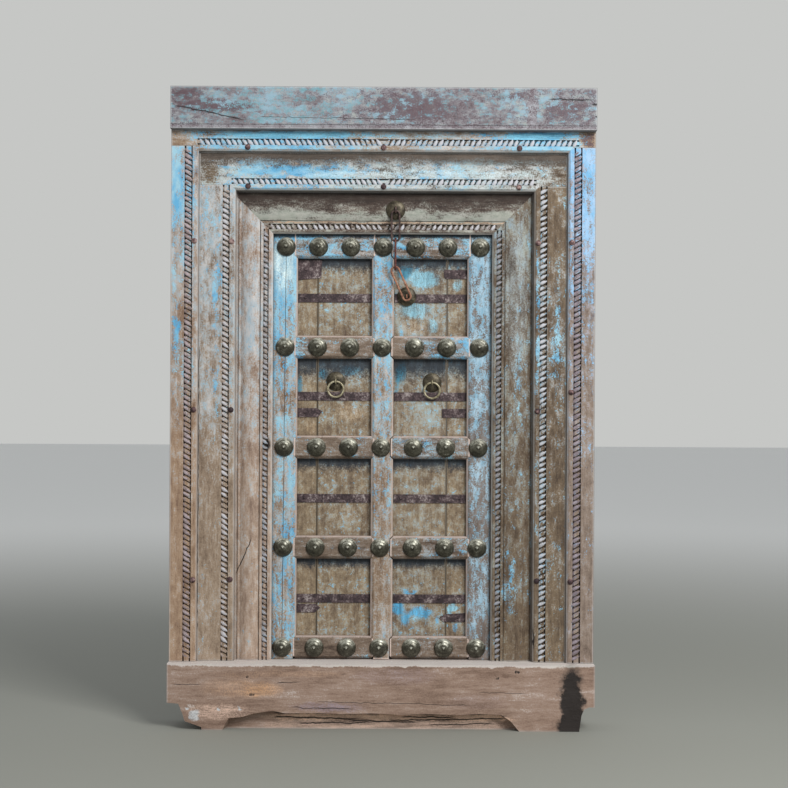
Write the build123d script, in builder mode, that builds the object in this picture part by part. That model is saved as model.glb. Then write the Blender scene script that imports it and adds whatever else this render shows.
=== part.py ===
from build123d import *
import math
import os

os.makedirs("parts", exist_ok=True)

# A double-leaf timber door with rope-carved frame timbers stepped one inside the other.
# Millimetres, +Z up, the carved face looks along -Y, the origin is on the floor at the middle.

# How far a cutting shape runs past the face it cuts
cut_overlap = 1.0

# Doorway between the edges of the inner frame
opening_width = 691.0
opening_height = 1344.0

# Face widths of the frame timbers
sill_height = 205.0
head_beam_height = 132.0
outer_jamb_width = 86.0
outer_head_height = 65.5
middle_jamb_left_width = 115.0
middle_jamb_right_width = 104.0
middle_head_height = 120.0
inner_jamb_left_width = 116.0
inner_jamb_right_width = 130.0
inner_head_height = 133.5

# How far each timber's face lies behind the front of the sill
head_beam_setback = 15.0
outer_setback = 45.0
middle_setback = 62.0
inner_setback = 80.0
leaf_setback = 105.0
frame_depth = 170.0

# Edges of the outer and middle timbers, next to the rope
edge_band = 19.0
mitre_rise = 16.0
arris_width = 7.0
arris_drop = 6.0

# Section of the inner timbers, measured outward from the doorway. The crest's share puts the
# top of the broad round at the inner setback.
inner_band_setback = 82.0
inner_arris_width = 6.0
inner_band = 13.0
inner_bead_outer = 38.0
quirk_outer = 41.0
quirk_drop = 6.0
fillet_step = 16.0
first_fillet = 9.0
first_fillet_setback = 95.0
second_fillet_setback = 91.0
round_end_setback = 85.0
crest_share = 0.5917

# Rope carved in a sunk channel
outer_rope_width = 25.0
outer_head_rope_width = 20.0
middle_rope_width = 22.0
middle_head_rope_width = 18.0
inner_rope_width = 17.0
outer_rope_ends = (4.0, 34.0)
middle_rope_ends = (14.0, 6.0)
rope_pitch = 16.8
rope_lean = 30.0
channel_depth = 9.0
channel_quirk = 1.6
rope_crest_drop = 1.2
rope_flank = 3.6
strand_groove_width = 6.6
strand_groove_depth = 6.2

# Leaves
leaf_thickness = 48.0
leaf_lap = 14.0
hanging_gap = 6.0
lip_clearance = 1.0
floor_gap = 1.5
face_layer = 23.0
stile_width = 91.0
stile_rebate = 16.0
post_width = 69.0
post_shift = 1.0
meeting_shift = 12.5
meeting_gap = 1.5
lap_relief = 1.0
board_joint = 205.0
board_gap = 1.0
rail_height = 72.0
rail_count = 5
top_rail_drop = 54.5
bevel_width = 9.5
bevel_drop = 7.0
joint_gap = 0.4
swing_gap = 2.6

# Wooden pivots worked on the ends of the hanging stiles
pivot_radius = 14.0
pivot_length = 26.0
pivot_chamfer = 2.0
pivot_clearance = 0.08
pivot_seat = 0.3

# Domed bosses, each the head of a square nail clenched behind the leaf
boss_radius = 30.0
boss_rim = 1.8
boss_height = 24.0
boss_shoulder = (0.88, 0.66)
boss_ring_radius = 19.5
boss_ring_height = 11.5
boss_ring_step = (1.0, 1.2)
boss_dish_drop = 1.0
boss_tip_radius = 6.5
boss_tip_base = 17.0
boss_tip_step = (1.4, 2.0)
boss_columns = 7
boss_inset_left = 50.6
boss_inset_right = 55.2
boss_lean = 8.0
shank_side = 7.0
shank_clearance = 0.1
clench_rise = 3.0
clench_length = 20.0

# Iron straps across the boards
strap_height = 27.0
strap_thickness = 3.0
strap_end_gap = 0.5
strap_offsets = (-5.0, -4.0, 3.0, -2.0)
strap_nail_radius = 4.2
strap_nail_rise = 2.4
strap_shank_side = 3.4
strap_shank_depth = 20.0
strap_nail_shares = (0.1, 0.36, 0.63, 0.9)

# Nails that hold the frame timbers, and the shape of every nail's dome
nail_shoulder = (0.72, 0.68)
nail_spread_share = 0.615
nail_inset = 12.5
frame_nail_radius = 9.0
frame_nail_rise = 6.5
frame_shank_side = 6.0
frame_shank_depth = 40.0

# Round plates, staples and the rings and chain that hang in them
plate_radius = 30.0
plate_rise = 9.0
plate_rim = 2.0
plate_shoulder = (0.53, 0.76)
plate_flat_radius = 11.0
staple_wire = 5.0
staple_half_height = 6.4
staple_leg_depth = 22.0
lintel_staple_wire = 6.0
lintel_staple_half_height = 9.0
catch_staple_wire = 4.4
catch_staple_half_height = 4.6
catch_reach = 3.0
leg_end_gap = 1.0
plate_seat_gap = 0.1
leg_clearance = 0.1
hang_clearance = 0.3
ring_radius = 24.7
ring_wire = 6.6
link_wire = 6.6
link_half_width = 12.5
link_length = 95.0
link_1_tilt = 2.5
link_2_tilt = 7.0
link_lean_room = 5.2

# Ring pulls, to the right of the middle of their panel and below the fourth rail's middle
ring_left_offset = (4.0, -107.8)
ring_right_offset = (6.5, -110.5)

# Chain: from the middle of the doorway and its top, and from the post's edge and the strap
lintel_staple_offset = (40.0, 74.0)
catch_offset = (40.9, 5.7)

# Places worked out from the sizes above
half_thickness = leaf_thickness / 2
total_width = (
    opening_width
    + 2 * outer_jamb_width
    + middle_jamb_left_width
    + middle_jamb_right_width
    + inner_jamb_left_width
    + inner_jamb_right_width
)
left_outer = -total_width / 2
left_middle = left_outer + outer_jamb_width
left_inner = left_middle + middle_jamb_left_width
opening_left = left_inner + inner_jamb_left_width
opening_right = opening_left + opening_width
right_inner = opening_right + inner_jamb_right_width
right_middle = right_inner + middle_jamb_right_width
right_outer = right_middle + outer_jamb_width
doorway_middle = (opening_left + opening_right) / 2

sill_top = sill_height
opening_top = sill_top + opening_height
inner_head_top = opening_top + inner_head_height
middle_head_top = inner_head_top + middle_head_height
outer_head_top = middle_head_top + outer_head_height
door_height = outer_head_top + head_beam_height

front = -frame_depth / 2
lip_back = leaf_setback - lip_clearance
lip_width = leaf_lap + hanging_gap
board_setback = leaf_setback + face_layer
leaf_back = leaf_setback + leaf_thickness

leaf_bottom = sill_top + floor_gap
leaf_top = opening_top + leaf_lap
leaf_left_edge = opening_left - leaf_lap
leaf_right_edge = opening_right + leaf_lap
pivot_y = front + leaf_setback + half_thickness
pivot_left_x = leaf_left_edge + half_thickness
pivot_right_x = leaf_right_edge - half_thickness
stile_left_edge = leaf_left_edge + stile_width
stile_right_edge = leaf_right_edge - stile_width
post_centre = doorway_middle + post_shift
post_left = post_centre - post_width / 2
post_right = post_centre + post_width / 2
meeting_x = post_centre + meeting_shift

first_rail = leaf_bottom + rail_height / 2
rail_pitch = (leaf_top - top_rail_drop - first_rail) / (rail_count - 1)
rail_levels = [first_rail + i * rail_pitch for i in range(rail_count)]
panel_middles = [level + rail_pitch / 2 for level in rail_levels[:-1]]
strap_levels = [middle + offset for middle, offset in zip(panel_middles, strap_offsets)]
boss_first = leaf_left_edge + boss_inset_left
boss_pitch = (leaf_right_edge - boss_inset_right - boss_first) / (boss_columns - 1)
lean_per_mm = boss_lean / (rail_levels[-1] - rail_levels[0])
lean_level = (rail_levels[-1] + rail_levels[0]) / 2


def boss_points(columns):
    """Where the bosses of the given columns stand, as (x, z)."""
    return [
        (boss_first + c * boss_pitch + (z - lean_level) * lean_per_mm, z)
        for c in columns
        for z in rail_levels
    ]


def save(part, name):
    """Labels a finished piece and writes it to its own file."""
    part.label = name
    export_step(part, f"parts/{name}.step")


def face_plane(setback):
    """A plane seen from the front, x to the right and y up, at a depth behind the sill's face."""
    return Plane(origin=(0, front + setback, 0), x_dir=(1, 0, 0), z_dir=(0, -1, 0))


def cut_from_front(points):
    """Cuts away what lies behind an outline drawn on the front view, right through."""
    with BuildSketch(face_plane(frame_depth)) as outline:
        with BuildLine():
            Polyline(*points, close=True)
        make_face()
    extrude(outline.sketch, amount=2 * frame_depth, mode=Mode.SUBTRACT)


def square_holes(points, side, near, far):
    """Square nail holes from one depth to another."""
    if points:
        with BuildSketch(face_plane(far)) as holes:
            with Locations(*points):
                Rectangle(side + 2 * shank_clearance, side + 2 * shank_clearance)
        extrude(holes.sketch, amount=far - near, mode=Mode.SUBTRACT)


def round_holes(points, wire, near, far):
    """Round holes for staple legs from one depth to another."""
    if points:
        with BuildSketch(face_plane(far)) as holes:
            with Locations(*points):
                Circle(wire / 2 + leg_clearance)
        extrude(holes.sketch, amount=far - near, mode=Mode.SUBTRACT)


# Frame timbers: their sections have x across the face towards the doorway and y into the depth


def left_section(x, z):
    """Section plane of an upright on the left, looking up it."""
    return Plane(origin=(x, front, z), x_dir=(1, 0, 0), z_dir=(0, 0, 1))


def right_section(x, z):
    """Section plane of an upright on the right, looking down it."""
    return Plane(origin=(x, front, z), x_dir=(-1, 0, 0), z_dir=(0, 0, -1))


def head_section(x, z):
    """Section plane of a head, looking to the right along it."""
    return Plane(origin=(x, front, z), x_dir=(0, 0, -1), z_dir=(1, 0, 0))


def banded_outline(width, setback):
    """Section of an outer or middle timber: a plain face with a sloped arris by the doorway."""
    Polyline(
        (0, setback),
        (width - arris_width, setback),
        (width, setback + arris_drop),
        (width, frame_depth),
        (0, frame_depth),
        close=True,
    )


def inner_outline(width, fillet):
    """Section of an inner timber: two fillets, a broad round, a bead, the rope's band, a lip."""
    round_start = fillet + fillet_step - first_fillet
    round_end = width - quirk_outer
    crest = round_start + (round_end - round_start) * crest_share
    Polyline(
        (0, frame_depth),
        (0, first_fillet_setback),
        (fillet, first_fillet_setback),
        (fillet, second_fillet_setback),
        (round_start, second_fillet_setback),
    )
    ThreePointArc(
        (round_start, second_fillet_setback),
        (crest, inner_setback),
        (round_end, round_end_setback),
    )
    Polyline(
        (round_end, round_end_setback),
        (round_end, inner_band_setback + quirk_drop),
        (width - inner_bead_outer, inner_band_setback + quirk_drop),
        (width - inner_bead_outer, inner_band_setback),
        (width - inner_arris_width, inner_band_setback),
        (width, inner_band_setback + inner_arris_width),
        (width, lip_back),
        (width - lip_width, lip_back),
        (width - lip_width, frame_depth),
        (0, frame_depth),
    )


def carve_rope(section, start, near, width, face, runs):
    """Sinks a channel in a timber's face, leaving a bead in it that is notched into strands.

    start is where the channel begins along the timber, near its edge across the face, and
    runs lists the stretches of rope one after the other as (length, side its strands lean to).
    """
    floor = face + channel_depth
    crest = face + rope_crest_drop
    bead_near = near + channel_quirk
    bead_far = near + width - channel_quirk
    with BuildSketch(section.offset(start)) as channel:
        with BuildLine():
            Polyline(
                (near, face - cut_overlap),
                (near, floor),
                (bead_near, floor),
                (bead_near + rope_flank, crest),
                (bead_far - rope_flank, crest),
                (bead_far, floor),
                (near + width, floor),
                (near + width, face - cut_overlap),
                close=True,
            )
        make_face()
    extrude(channel.sketch, amount=sum(length for length, _ in runs), mode=Mode.SUBTRACT)

    across = section.x_dir
    along = section.z_dir
    slope = math.tan(math.radians(rope_lean))
    reach = width - channel_quirk
    shift = reach * slope
    groove_slope = strand_groove_width / 2 / strand_groove_depth
    mouth = groove_slope * (strand_groove_depth + cut_overlap)
    run_start = start
    for length, lean in runs:
        count = int((length - shift - strand_groove_width) / rope_pitch)
        first = run_start + (length - (count - 1) * rope_pitch - lean * shift) / 2
        origin = section.from_local_coords((near + channel_quirk / 2, 0, first))
        groove_plane = Plane(origin=origin, x_dir=along, z_dir=along.cross(section.y_dir))
        with BuildSketch(groove_plane) as grooves:
            with Locations(*[(i * rope_pitch, 0) for i in range(count)]):
                Polygon(
                    (-mouth, crest - cut_overlap),
                    (mouth, crest - cut_overlap),
                    (0, crest + strand_groove_depth),
                    align=None,
                )
        extrude(
            grooves.sketch,
            amount=reach / math.cos(math.radians(rope_lean)),
            dir=across + along * (lean * slope),
            mode=Mode.SUBTRACT,
        )
        run_start += length


def head_end(outer, edge, level, rise):
    """Front-view outline cut from a head's end, where the upright's band meets it in a mitre."""
    towards = 1 if edge > outer else -1
    beyond = outer - towards * cut_overlap
    return [
        (beyond, level),
        (edge, level),
        (edge - towards * rise, level + rise),
        (beyond, level + rise),
    ]


def upright_end(edge, level, rise, towards):
    """Front-view outline cut from the top of an upright, next to the doorway."""
    return [(edge, level), (edge, level + rise), (edge - towards * rise, level + rise)]


# Sill, with the notches worn in its lower corners and the splintered toe between them
notch_left_points = ((0, 0), (108, 0), (108, 9), (56, 27), (49, 50), (36, 81), (0, 84))
notch_right_points = ((0, 0), (48, 0), (41, 50), (33, 69), (18, 76), (0, 76))
toe_depth = 34.0
toe_flare = 12.0
toe_points = (
    (-0.364, 0), (-0.352, 30), (-0.322, 34), (-0.295, 45), (-0.252, 53), (-0.224, 46),
    (-0.154, 47), (-0.09, 44), (-0.023, 47), (0.048, 43), (0.113, 46), (0.178, 43),
    (0.233, 47), (0.28, 44), (0.3, 27), (0.317, 0),
)
socket_depth = pivot_length + pivot_seat
with BuildPart() as sill:
    with BuildSketch(face_plane(frame_depth)):
        with Locations((0, sill_height / 2)):
            Rectangle(total_width, sill_height)
    extrude(amount=frame_depth)
    cut_from_front([(left_outer + x, z) for x, z in notch_left_points])
    cut_from_front([(right_outer - x, z) for x, z in notch_right_points])
    with BuildSketch(face_plane(toe_depth)):
        with BuildLine():
            Polyline(*[(share * total_width, z) for share, z in toe_points], close=True)
        make_face()
    extrude(amount=2 * toe_depth, mode=Mode.SUBTRACT, taper=-toe_flare)
    with BuildSketch(Plane.XY.offset(sill_top)):
        with Locations((pivot_left_x, pivot_y), (pivot_right_x, pivot_y)):
            Circle(pivot_radius + pivot_clearance)
    extrude(amount=-socket_depth, mode=Mode.SUBTRACT)
save(sill.part, "sill")

# Head beam, with a scored line above its lower edge
score_height = 13.0
score_depth = 2.0
with BuildPart() as head_beam:
    with BuildSketch(head_section(left_outer, door_height)):
        with BuildLine():
            Polyline(
                (0, head_beam_setback),
                (head_beam_height - score_height - score_depth, head_beam_setback),
                (head_beam_height - score_height, head_beam_setback + score_depth),
                (head_beam_height - score_height + score_depth, head_beam_setback),
                (head_beam_height - score_depth, head_beam_setback),
                (head_beam_height, head_beam_setback + score_depth),
                (head_beam_height, frame_depth),
                (0, frame_depth),
                close=True,
            )
        make_face()
    extrude(amount=total_width)
save(head_beam.part, "head_beam")


def nails_in(points, near):
    """Square holes for frame nails driven from a timber's face."""
    square_holes(points, frame_shank_side, near, near + frame_shank_depth)


def banded_head(name, left, right, edges, top, height, setback, rope, rope_ends, nails):
    """A head that runs over its uprights, with the rope between two plain end blocks."""
    level = top - height
    left_edge, right_edge = edges
    channel_start = left_edge - rope_ends[0]
    channel_end = right_edge + rope_ends[1]
    section = head_section(left, top)
    with BuildPart() as head:
        with BuildSketch(section):
            with BuildLine():
                banded_outline(height, setback)
            make_face()
        extrude(amount=right - left)
        cut_from_front(head_end(left, left_edge, level, mitre_rise))
        cut_from_front(head_end(right, right_edge, level, mitre_rise))
        carve_rope(
            section, channel_start - left, height - edge_band - rope, rope, setback,
            ((doorway_middle - channel_start, 1), (channel_end - doorway_middle, -1)),
        )
        nails_in(nails, setback)
    save(head.part, name)


def banded_jamb(name, section, width, length, setback, rope, lean, end_points, nails):
    """An outer or middle upright standing on the sill under its head."""
    with BuildPart() as jamb:
        with BuildSketch(section):
            with BuildLine():
                banded_outline(width, setback)
            make_face()
        extrude(amount=length)
        cut_from_front(end_points)
        carve_rope(section, 0, width - edge_band - rope, rope, setback, ((length, lean),))
        nails_in(nails, setback)
    save(jamb.part, name)


# Nail places, as (x, z), on the flat of the edge bands
nail_spread = nail_spread_share * opening_width
jamb_nail_shares = (0.19, 0.586, 0.979)
outer_right_middle_share = 0.631
outer_level = middle_head_top
middle_level = inner_head_top
outer_head_nails = [(x, outer_level + nail_inset) for x in (-nail_spread, 0, nail_spread)]
middle_head_nails = [(x, middle_level + nail_inset) for x in (-nail_spread, 0, nail_spread)]
jamb_levels = [sill_top + share * opening_height for share in jamb_nail_shares]
outer_left_nails = [(left_middle - nail_inset, z) for z in jamb_levels]
outer_right_nails = [
    (right_middle + nail_inset, z)
    for z in (
        jamb_levels[0],
        sill_top + outer_right_middle_share * opening_height,
        jamb_levels[2],
    )
]
middle_left_nails = [(left_inner - nail_inset, z) for z in jamb_levels]
middle_right_nails = [(right_inner + nail_inset, z) for z in jamb_levels]

outer_length = outer_level + mitre_rise - sill_top
middle_length = middle_level + mitre_rise - sill_top

banded_head(
    "outer_head", left_outer, right_outer, (left_middle, right_middle),
    outer_head_top, outer_head_height, outer_setback, outer_head_rope_width,
    outer_rope_ends, outer_head_nails,
)
banded_jamb(
    "outer_jamb_left", left_section(left_outer, sill_top), outer_jamb_width, outer_length,
    outer_setback, outer_rope_width, -1, upright_end(left_middle, outer_level, mitre_rise, 1),
    outer_left_nails,
)
banded_jamb(
    "outer_jamb_right", right_section(right_outer, sill_top + outer_length), outer_jamb_width,
    outer_length, outer_setback, outer_rope_width, 1,
    upright_end(right_middle, outer_level, mitre_rise, -1), outer_right_nails,
)
banded_head(
    "middle_head", left_middle, right_middle, (left_inner, right_inner),
    middle_head_top, middle_head_height, middle_setback, middle_head_rope_width,
    middle_rope_ends, middle_head_nails,
)
banded_jamb(
    "middle_jamb_left", left_section(left_middle, sill_top), middle_jamb_left_width,
    middle_length, middle_setback, middle_rope_width, -1,
    upright_end(left_inner, middle_level, mitre_rise, 1), middle_left_nails,
)
banded_jamb(
    "middle_jamb_right", right_section(right_middle, sill_top + middle_length),
    middle_jamb_right_width, middle_length, middle_setback, middle_rope_width, 1,
    upright_end(right_inner, middle_level, mitre_rise, -1), middle_right_nails,
)

# Inner frame: three timbers mitred at the corners, with a lip that the leaves close against
lintel_x = doorway_middle + lintel_staple_offset[0]
lintel_z = opening_top + lintel_staple_offset[1]
lintel_legs = [
    (lintel_x, lintel_z - lintel_staple_half_height),
    (lintel_x, lintel_z + lintel_staple_half_height),
]


def inner_jamb(name, width, edge, towards):
    """An inner upright, cut to a mitre at its top. towards is 1 on the left, -1 on the right."""
    rise = min(width, inner_head_height)
    length = opening_height + rise
    if towards > 0:
        section = left_section(edge - width, sill_top)
        rope_start = 0
    else:
        section = right_section(edge + width, sill_top + length)
        rope_start = rise - inner_band
    with BuildPart() as jamb:
        with BuildSketch(section):
            with BuildLine():
                inner_outline(width, first_fillet)
            make_face()
        extrude(amount=length)
        cut_from_front(upright_end(edge, opening_top, rise, towards))
        carve_rope(
            section, rope_start, width - inner_band - inner_rope_width, inner_rope_width,
            inner_band_setback, ((opening_height + inner_band, -towards),),
        )
    save(jamb.part, name)


inner_jamb("inner_jamb_left", inner_jamb_left_width, opening_left, 1)
inner_jamb("inner_jamb_right", inner_jamb_right_width, opening_right, -1)

inner_span = right_inner - left_inner
rise_left = min(inner_jamb_left_width, inner_head_height)
rise_right = min(inner_jamb_right_width, inner_head_height)
with BuildPart() as inner_head:
    inner_head_plane = head_section(left_inner, inner_head_top)
    with BuildSketch(inner_head_plane):
        with BuildLine():
            inner_outline(
                inner_head_height, first_fillet + inner_head_height - inner_jamb_left_width
            )
        make_face()
    extrude(amount=inner_span)
    cut_from_front(head_end(left_inner, opening_left, opening_top, rise_left))
    cut_from_front(head_end(right_inner, opening_right, opening_top, rise_right))
    rope_half = opening_width / 2 + inner_band
    carve_rope(
        inner_head_plane, opening_left - inner_band - left_inner,
        inner_head_height - inner_band - inner_rope_width, inner_rope_width,
        inner_band_setback, ((rope_half, 1), (rope_half, -1)),
    )
    socket_top = opening_top + lip_width
    top_socket_depth = leaf_top + pivot_length - socket_top + pivot_seat
    with BuildSketch(Plane.XY.offset(socket_top)):
        with Locations((pivot_left_x, pivot_y), (pivot_right_x, pivot_y)):
            Circle(pivot_radius + pivot_clearance)
    extrude(amount=top_socket_depth, mode=Mode.SUBTRACT)
    round_holes(
        lintel_legs, lintel_staple_wire, inner_setback - cut_overlap,
        inner_setback + staple_leg_depth + leg_end_gap,
    )
save(inner_head.part, "inner_head")


def nail_head(x, z, face, radius, rise):
    """Adds a domed nail head on a face at the given depth."""
    seat = Plane(origin=(x, front + face, z), x_dir=(1, 0, 0), z_dir=(0, 0, 1))
    with BuildSketch(seat) as half:
        with BuildLine():
            Polyline((0, 0), (0, -rise))
            ThreePointArc(
                (0, -rise),
                (radius * nail_shoulder[0], -rise * nail_shoulder[1]),
                (radius, 0),
            )
            Line((radius, 0), (0, 0))
        make_face()
    revolve(half.sketch, axis=Axis(seat.origin, (0, 1, 0)))


# Domed nails of the frame, each head with its square shank
with BuildPart() as frame_nails:
    for points, face in (
        (outer_head_nails + outer_left_nails + outer_right_nails, outer_setback),
        (middle_head_nails + middle_left_nails + middle_right_nails, middle_setback),
    ):
        with BuildSketch(face_plane(face + frame_shank_depth)):
            with Locations(*points):
                Rectangle(frame_shank_side, frame_shank_side)
        extrude(amount=frame_shank_depth)
        for x, z in points:
            nail_head(x, z, face, frame_nail_radius, frame_nail_rise)
save(frame_nails.part, "frame_nails")

# Leaves


def rail_outline(left, right, bottom, top, grow):
    """Front outline of a rail, its corners cut to meet the bevels of the uprights."""
    corner = bevel_width + grow * (math.sqrt(2) - 1)
    x0, x1, z0, z1 = left - grow, right + grow, bottom - grow, top + grow
    Polyline(
        (x0, z0 + corner), (x0 + corner, z0), (x1 - corner, z0), (x1, z0 + corner),
        (x1, z1 - corner), (x1 - corner, z1), (x0 + corner, z1), (x0, z1 - corner),
        close=True,
    )


def rail_span(level):
    """Bottom and top of the rail at a level. The top rail runs on to the leaf's top."""
    top = leaf_top if level == rail_levels[-1] else level + rail_height / 2
    return level - rail_height / 2, top


def cut_rail_seats(left, right, grow):
    """Sinks the seats that the rails' ends lie in."""
    for level in rail_levels:
        bottom, top = rail_span(level)
        above = bevel_width if level == rail_levels[-1] else 0
        below = bevel_width if level == rail_levels[0] else 0
        with BuildSketch(face_plane(board_setback)) as seat:
            with BuildLine():
                rail_outline(left, right, bottom - below, top + above, grow)
            make_face()
        extrude(seat.sketch, amount=face_layer + cut_overlap, mode=Mode.SUBTRACT)


left_rail_start = stile_left_edge - bevel_width
left_rail_end = post_left + bevel_width
right_rail_start = post_right - bevel_width + swing_gap
right_rail_end = stile_right_edge + bevel_width

left_stile_bosses = boss_points([0])
left_rail_bosses = boss_points([1, 2])
post_bosses = boss_points([3])
right_rail_bosses = boss_points([4, 5])
right_stile_bosses = boss_points([6])
left_bosses = left_stile_bosses + left_rail_bosses + post_bosses
right_bosses = right_rail_bosses + right_stile_bosses


def hanging_stile(name, section, pivot_x, bosses, rails):
    """The thick upright that a leaf turns on, with a pivot at each end and a rounded edge."""
    with BuildPart() as stile:
        with BuildSketch(section):
            with BuildLine():
                Polyline(
                    (half_thickness, leaf_setback),
                    (stile_width - bevel_width, leaf_setback),
                    (stile_width, leaf_setback + bevel_drop),
                    (stile_width, board_setback),
                    (stile_width - stile_rebate, board_setback),
                    (stile_width - stile_rebate, leaf_back),
                    (half_thickness, leaf_back),
                )
                ThreePointArc(
                    (half_thickness, leaf_back),
                    (0, leaf_setback + half_thickness),
                    (half_thickness, leaf_setback),
                )
            make_face()
        extrude(amount=leaf_top - leaf_bottom)
        with BuildSketch(Plane.XY.offset(leaf_bottom - pivot_length)):
            with Locations((pivot_x, pivot_y)):
                Circle(pivot_radius)
        extrude(amount=leaf_top - leaf_bottom + 2 * pivot_length)
        ends = stile.edges().filter_by(GeomType.CIRCLE).group_by(Axis.Z)
        chamfer(ends[0] + ends[-1], pivot_chamfer)
        cut_rail_seats(*rails)
        square_holes(
            bosses, shank_side, leaf_setback - cut_overlap, leaf_back + cut_overlap
        )
    save(stile.part, name)


hanging_stile(
    "hanging_stile_left", left_section(leaf_left_edge, leaf_bottom), pivot_left_x,
    left_stile_bosses, (left_rail_start, left_rail_end, joint_gap),
)
hanging_stile(
    "hanging_stile_right", right_section(leaf_right_edge, leaf_top), pivot_right_x,
    right_stile_bosses, (right_rail_start, right_rail_end, joint_gap),
)

with BuildPart() as centre_post:
    with BuildSketch(left_section(post_left, leaf_bottom)):
        with BuildLine():
            Polyline(
                (0, board_setback),
                (0, leaf_setback + bevel_drop),
                (bevel_width, leaf_setback),
                (post_width - bevel_width, leaf_setback),
                (post_width, leaf_setback + bevel_drop),
                (post_width, board_setback - lap_relief),
                (meeting_x - post_left, board_setback - lap_relief),
                (meeting_x - post_left, board_setback),
                close=True,
            )
        make_face()
    extrude(amount=leaf_top - leaf_bottom)
    cut_rail_seats(left_rail_start, left_rail_end, joint_gap)
    cut_rail_seats(right_rail_start, right_rail_end, swing_gap)
    square_holes(
        post_bosses, shank_side, leaf_setback - cut_overlap, board_setback + cut_overlap
    )
save(centre_post.part, "centre_post")

# Rings, chain catch and straps on the boards, as places seen from the front
panel_left_middle = (stile_left_edge + post_left) / 2
panel_right_middle = (post_right + stile_right_edge) / 2
ring_places = {
    "left": (panel_left_middle + ring_left_offset[0], rail_levels[-2] + ring_left_offset[1]),
    "right": (panel_right_middle + ring_right_offset[0], rail_levels[-2] + ring_right_offset[1]),
}
catch_place = (post_right + catch_offset[0], strap_levels[-1] + catch_offset[1])
catch_seat = board_setback - strap_thickness


def leg_points(place, half_height):
    """The two legs of a staple, one above the other."""
    x, z = place
    return [(x, z - half_height), (x, z + half_height)]


catch_legs = leg_points(catch_place, catch_staple_half_height)
strap_ends_x = {
    "left": (stile_left_edge + strap_end_gap, post_left - strap_end_gap),
    "right": (post_right + swing_gap, stile_right_edge - strap_end_gap),
}


def strap_nail_points(side):
    """Where the straps of a leaf are nailed, missing the plate of the chain catch."""
    start, end = strap_ends_x[side]
    return [
        (start + share * (end - start), z)
        for z in strap_levels
        for share in strap_nail_shares
        if side == "left" or z != strap_levels[-1]
        or abs(start + share * (end - start) - catch_place[0]) > plate_radius + strap_nail_radius
    ]


# Short strap ends that reach out from under the stiles: the panel each lies on, counted up
# from the lowest, and its outline from the stile's edge and from the panel's middle
short_ends = {
    "left": (
        (3, ((strap_end_gap, 55), (strap_end_gap, 119), (76, 119), (74, 62))),
        (2, ((strap_end_gap, -63), (strap_end_gap, -35), (62, -35), (79, -45), (66, -63))),
        (0, ((strap_end_gap, -50), (strap_end_gap, -23), (60, -23), (76, -35), (58, -50))),
    ),
    "right": (
        (3, ((strap_end_gap, 61), (strap_end_gap, 89), (74, 89), (74, 66), (68, 61))),
        (2, ((strap_end_gap, -63), (strap_end_gap, -35), (78, -35), (78, -63))),
        (0, ((strap_end_gap, -78), (strap_end_gap, -50), (66, -54), (84, -65), (70, -78))),
    ),
}
short_nail_inset = 24.0


def short_end_outlines(side):
    """Front outlines of a leaf's short strap ends."""
    edge, towards = (stile_left_edge, 1) if side == "left" else (stile_right_edge, -1)
    return [
        [(edge + towards * x, panel_middles[panel] + z) for x, z in points]
        for panel, points in short_ends[side]
    ]


def short_nail_points(side):
    """One nail through each short strap end."""
    edge, towards = (stile_left_edge, 1) if side == "left" else (stile_right_edge, -1)
    return [
        (edge + towards * short_nail_inset, (outline[0][1] + outline[1][1]) / 2)
        for outline in short_end_outlines(side)
    ]


def board(name, left, right, side, front_setback):
    """One upright board of a leaf, with the holes of all nails and staples that reach it."""

    def near(points):
        return [p for p in points if left - shank_side < p[0] < right + shank_side]

    with BuildPart() as plank:
        with BuildSketch(face_plane(leaf_back)):
            with Locations(((left + right) / 2, (leaf_bottom + leaf_top) / 2)):
                Rectangle(right - left, leaf_top - leaf_bottom)
        extrude(amount=leaf_back - front_setback)
        bosses = left_bosses if side == "left" else right_bosses
        square_holes(
            near(bosses), shank_side, board_setback - cut_overlap, leaf_back + cut_overlap
        )
        small = strap_nail_points(side) + short_nail_points(side)
        square_holes(
            near(small), strap_shank_side, board_setback - cut_overlap,
            board_setback + strap_shank_depth,
        )
        leg_depths = board_setback - cut_overlap, board_setback + staple_leg_depth
        legs = leg_points(ring_places[side], staple_half_height)
        round_holes(near(legs), staple_wire, *leg_depths)
        if side == "right":
            round_holes(near(catch_legs), catch_staple_wire, *leg_depths)
    save(plank.part, name)


left_joint = doorway_middle - board_joint
right_joint = doorway_middle + board_joint
board_left_end = stile_left_edge - stile_rebate + board_gap / 2
board_right_end = stile_right_edge + stile_rebate - board_gap / 2
board("narrow_board_left", board_left_end, left_joint - board_gap / 2, "left", board_setback)
board("wide_board_left", left_joint + board_gap / 2, meeting_x, "left", board_setback)
board(
    "wide_board_right", meeting_x + meeting_gap, right_joint - board_gap / 2, "right",
    board_setback,
)
board("narrow_board_right", right_joint + board_gap / 2, board_right_end, "right", board_setback)


def rail(name, left, right, level, bosses):
    """A rail laid across the boards, bevelled along both edges."""
    bottom, top = rail_span(level)
    mine = [p for p in bosses if p[1] == level]
    with BuildPart() as bar:
        with BuildSketch(head_section(left - cut_overlap, top)):
            with BuildLine():
                Polyline(
                    (0, board_setback),
                    (0, leaf_setback + bevel_drop),
                    (bevel_width, leaf_setback),
                    (top - bottom - bevel_width, leaf_setback),
                    (top - bottom, leaf_setback + bevel_drop),
                    (top - bottom, board_setback),
                    close=True,
                )
            make_face()
        extrude(amount=right - left + 2 * cut_overlap)
        with BuildSketch(face_plane(board_setback)):
            with BuildLine():
                rail_outline(left, right, bottom, top, 0)
            make_face()
        extrude(amount=face_layer, mode=Mode.INTERSECT)
        square_holes(
            mine, shank_side, leaf_setback - cut_overlap, board_setback + cut_overlap
        )
    save(bar.part, name)


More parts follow.
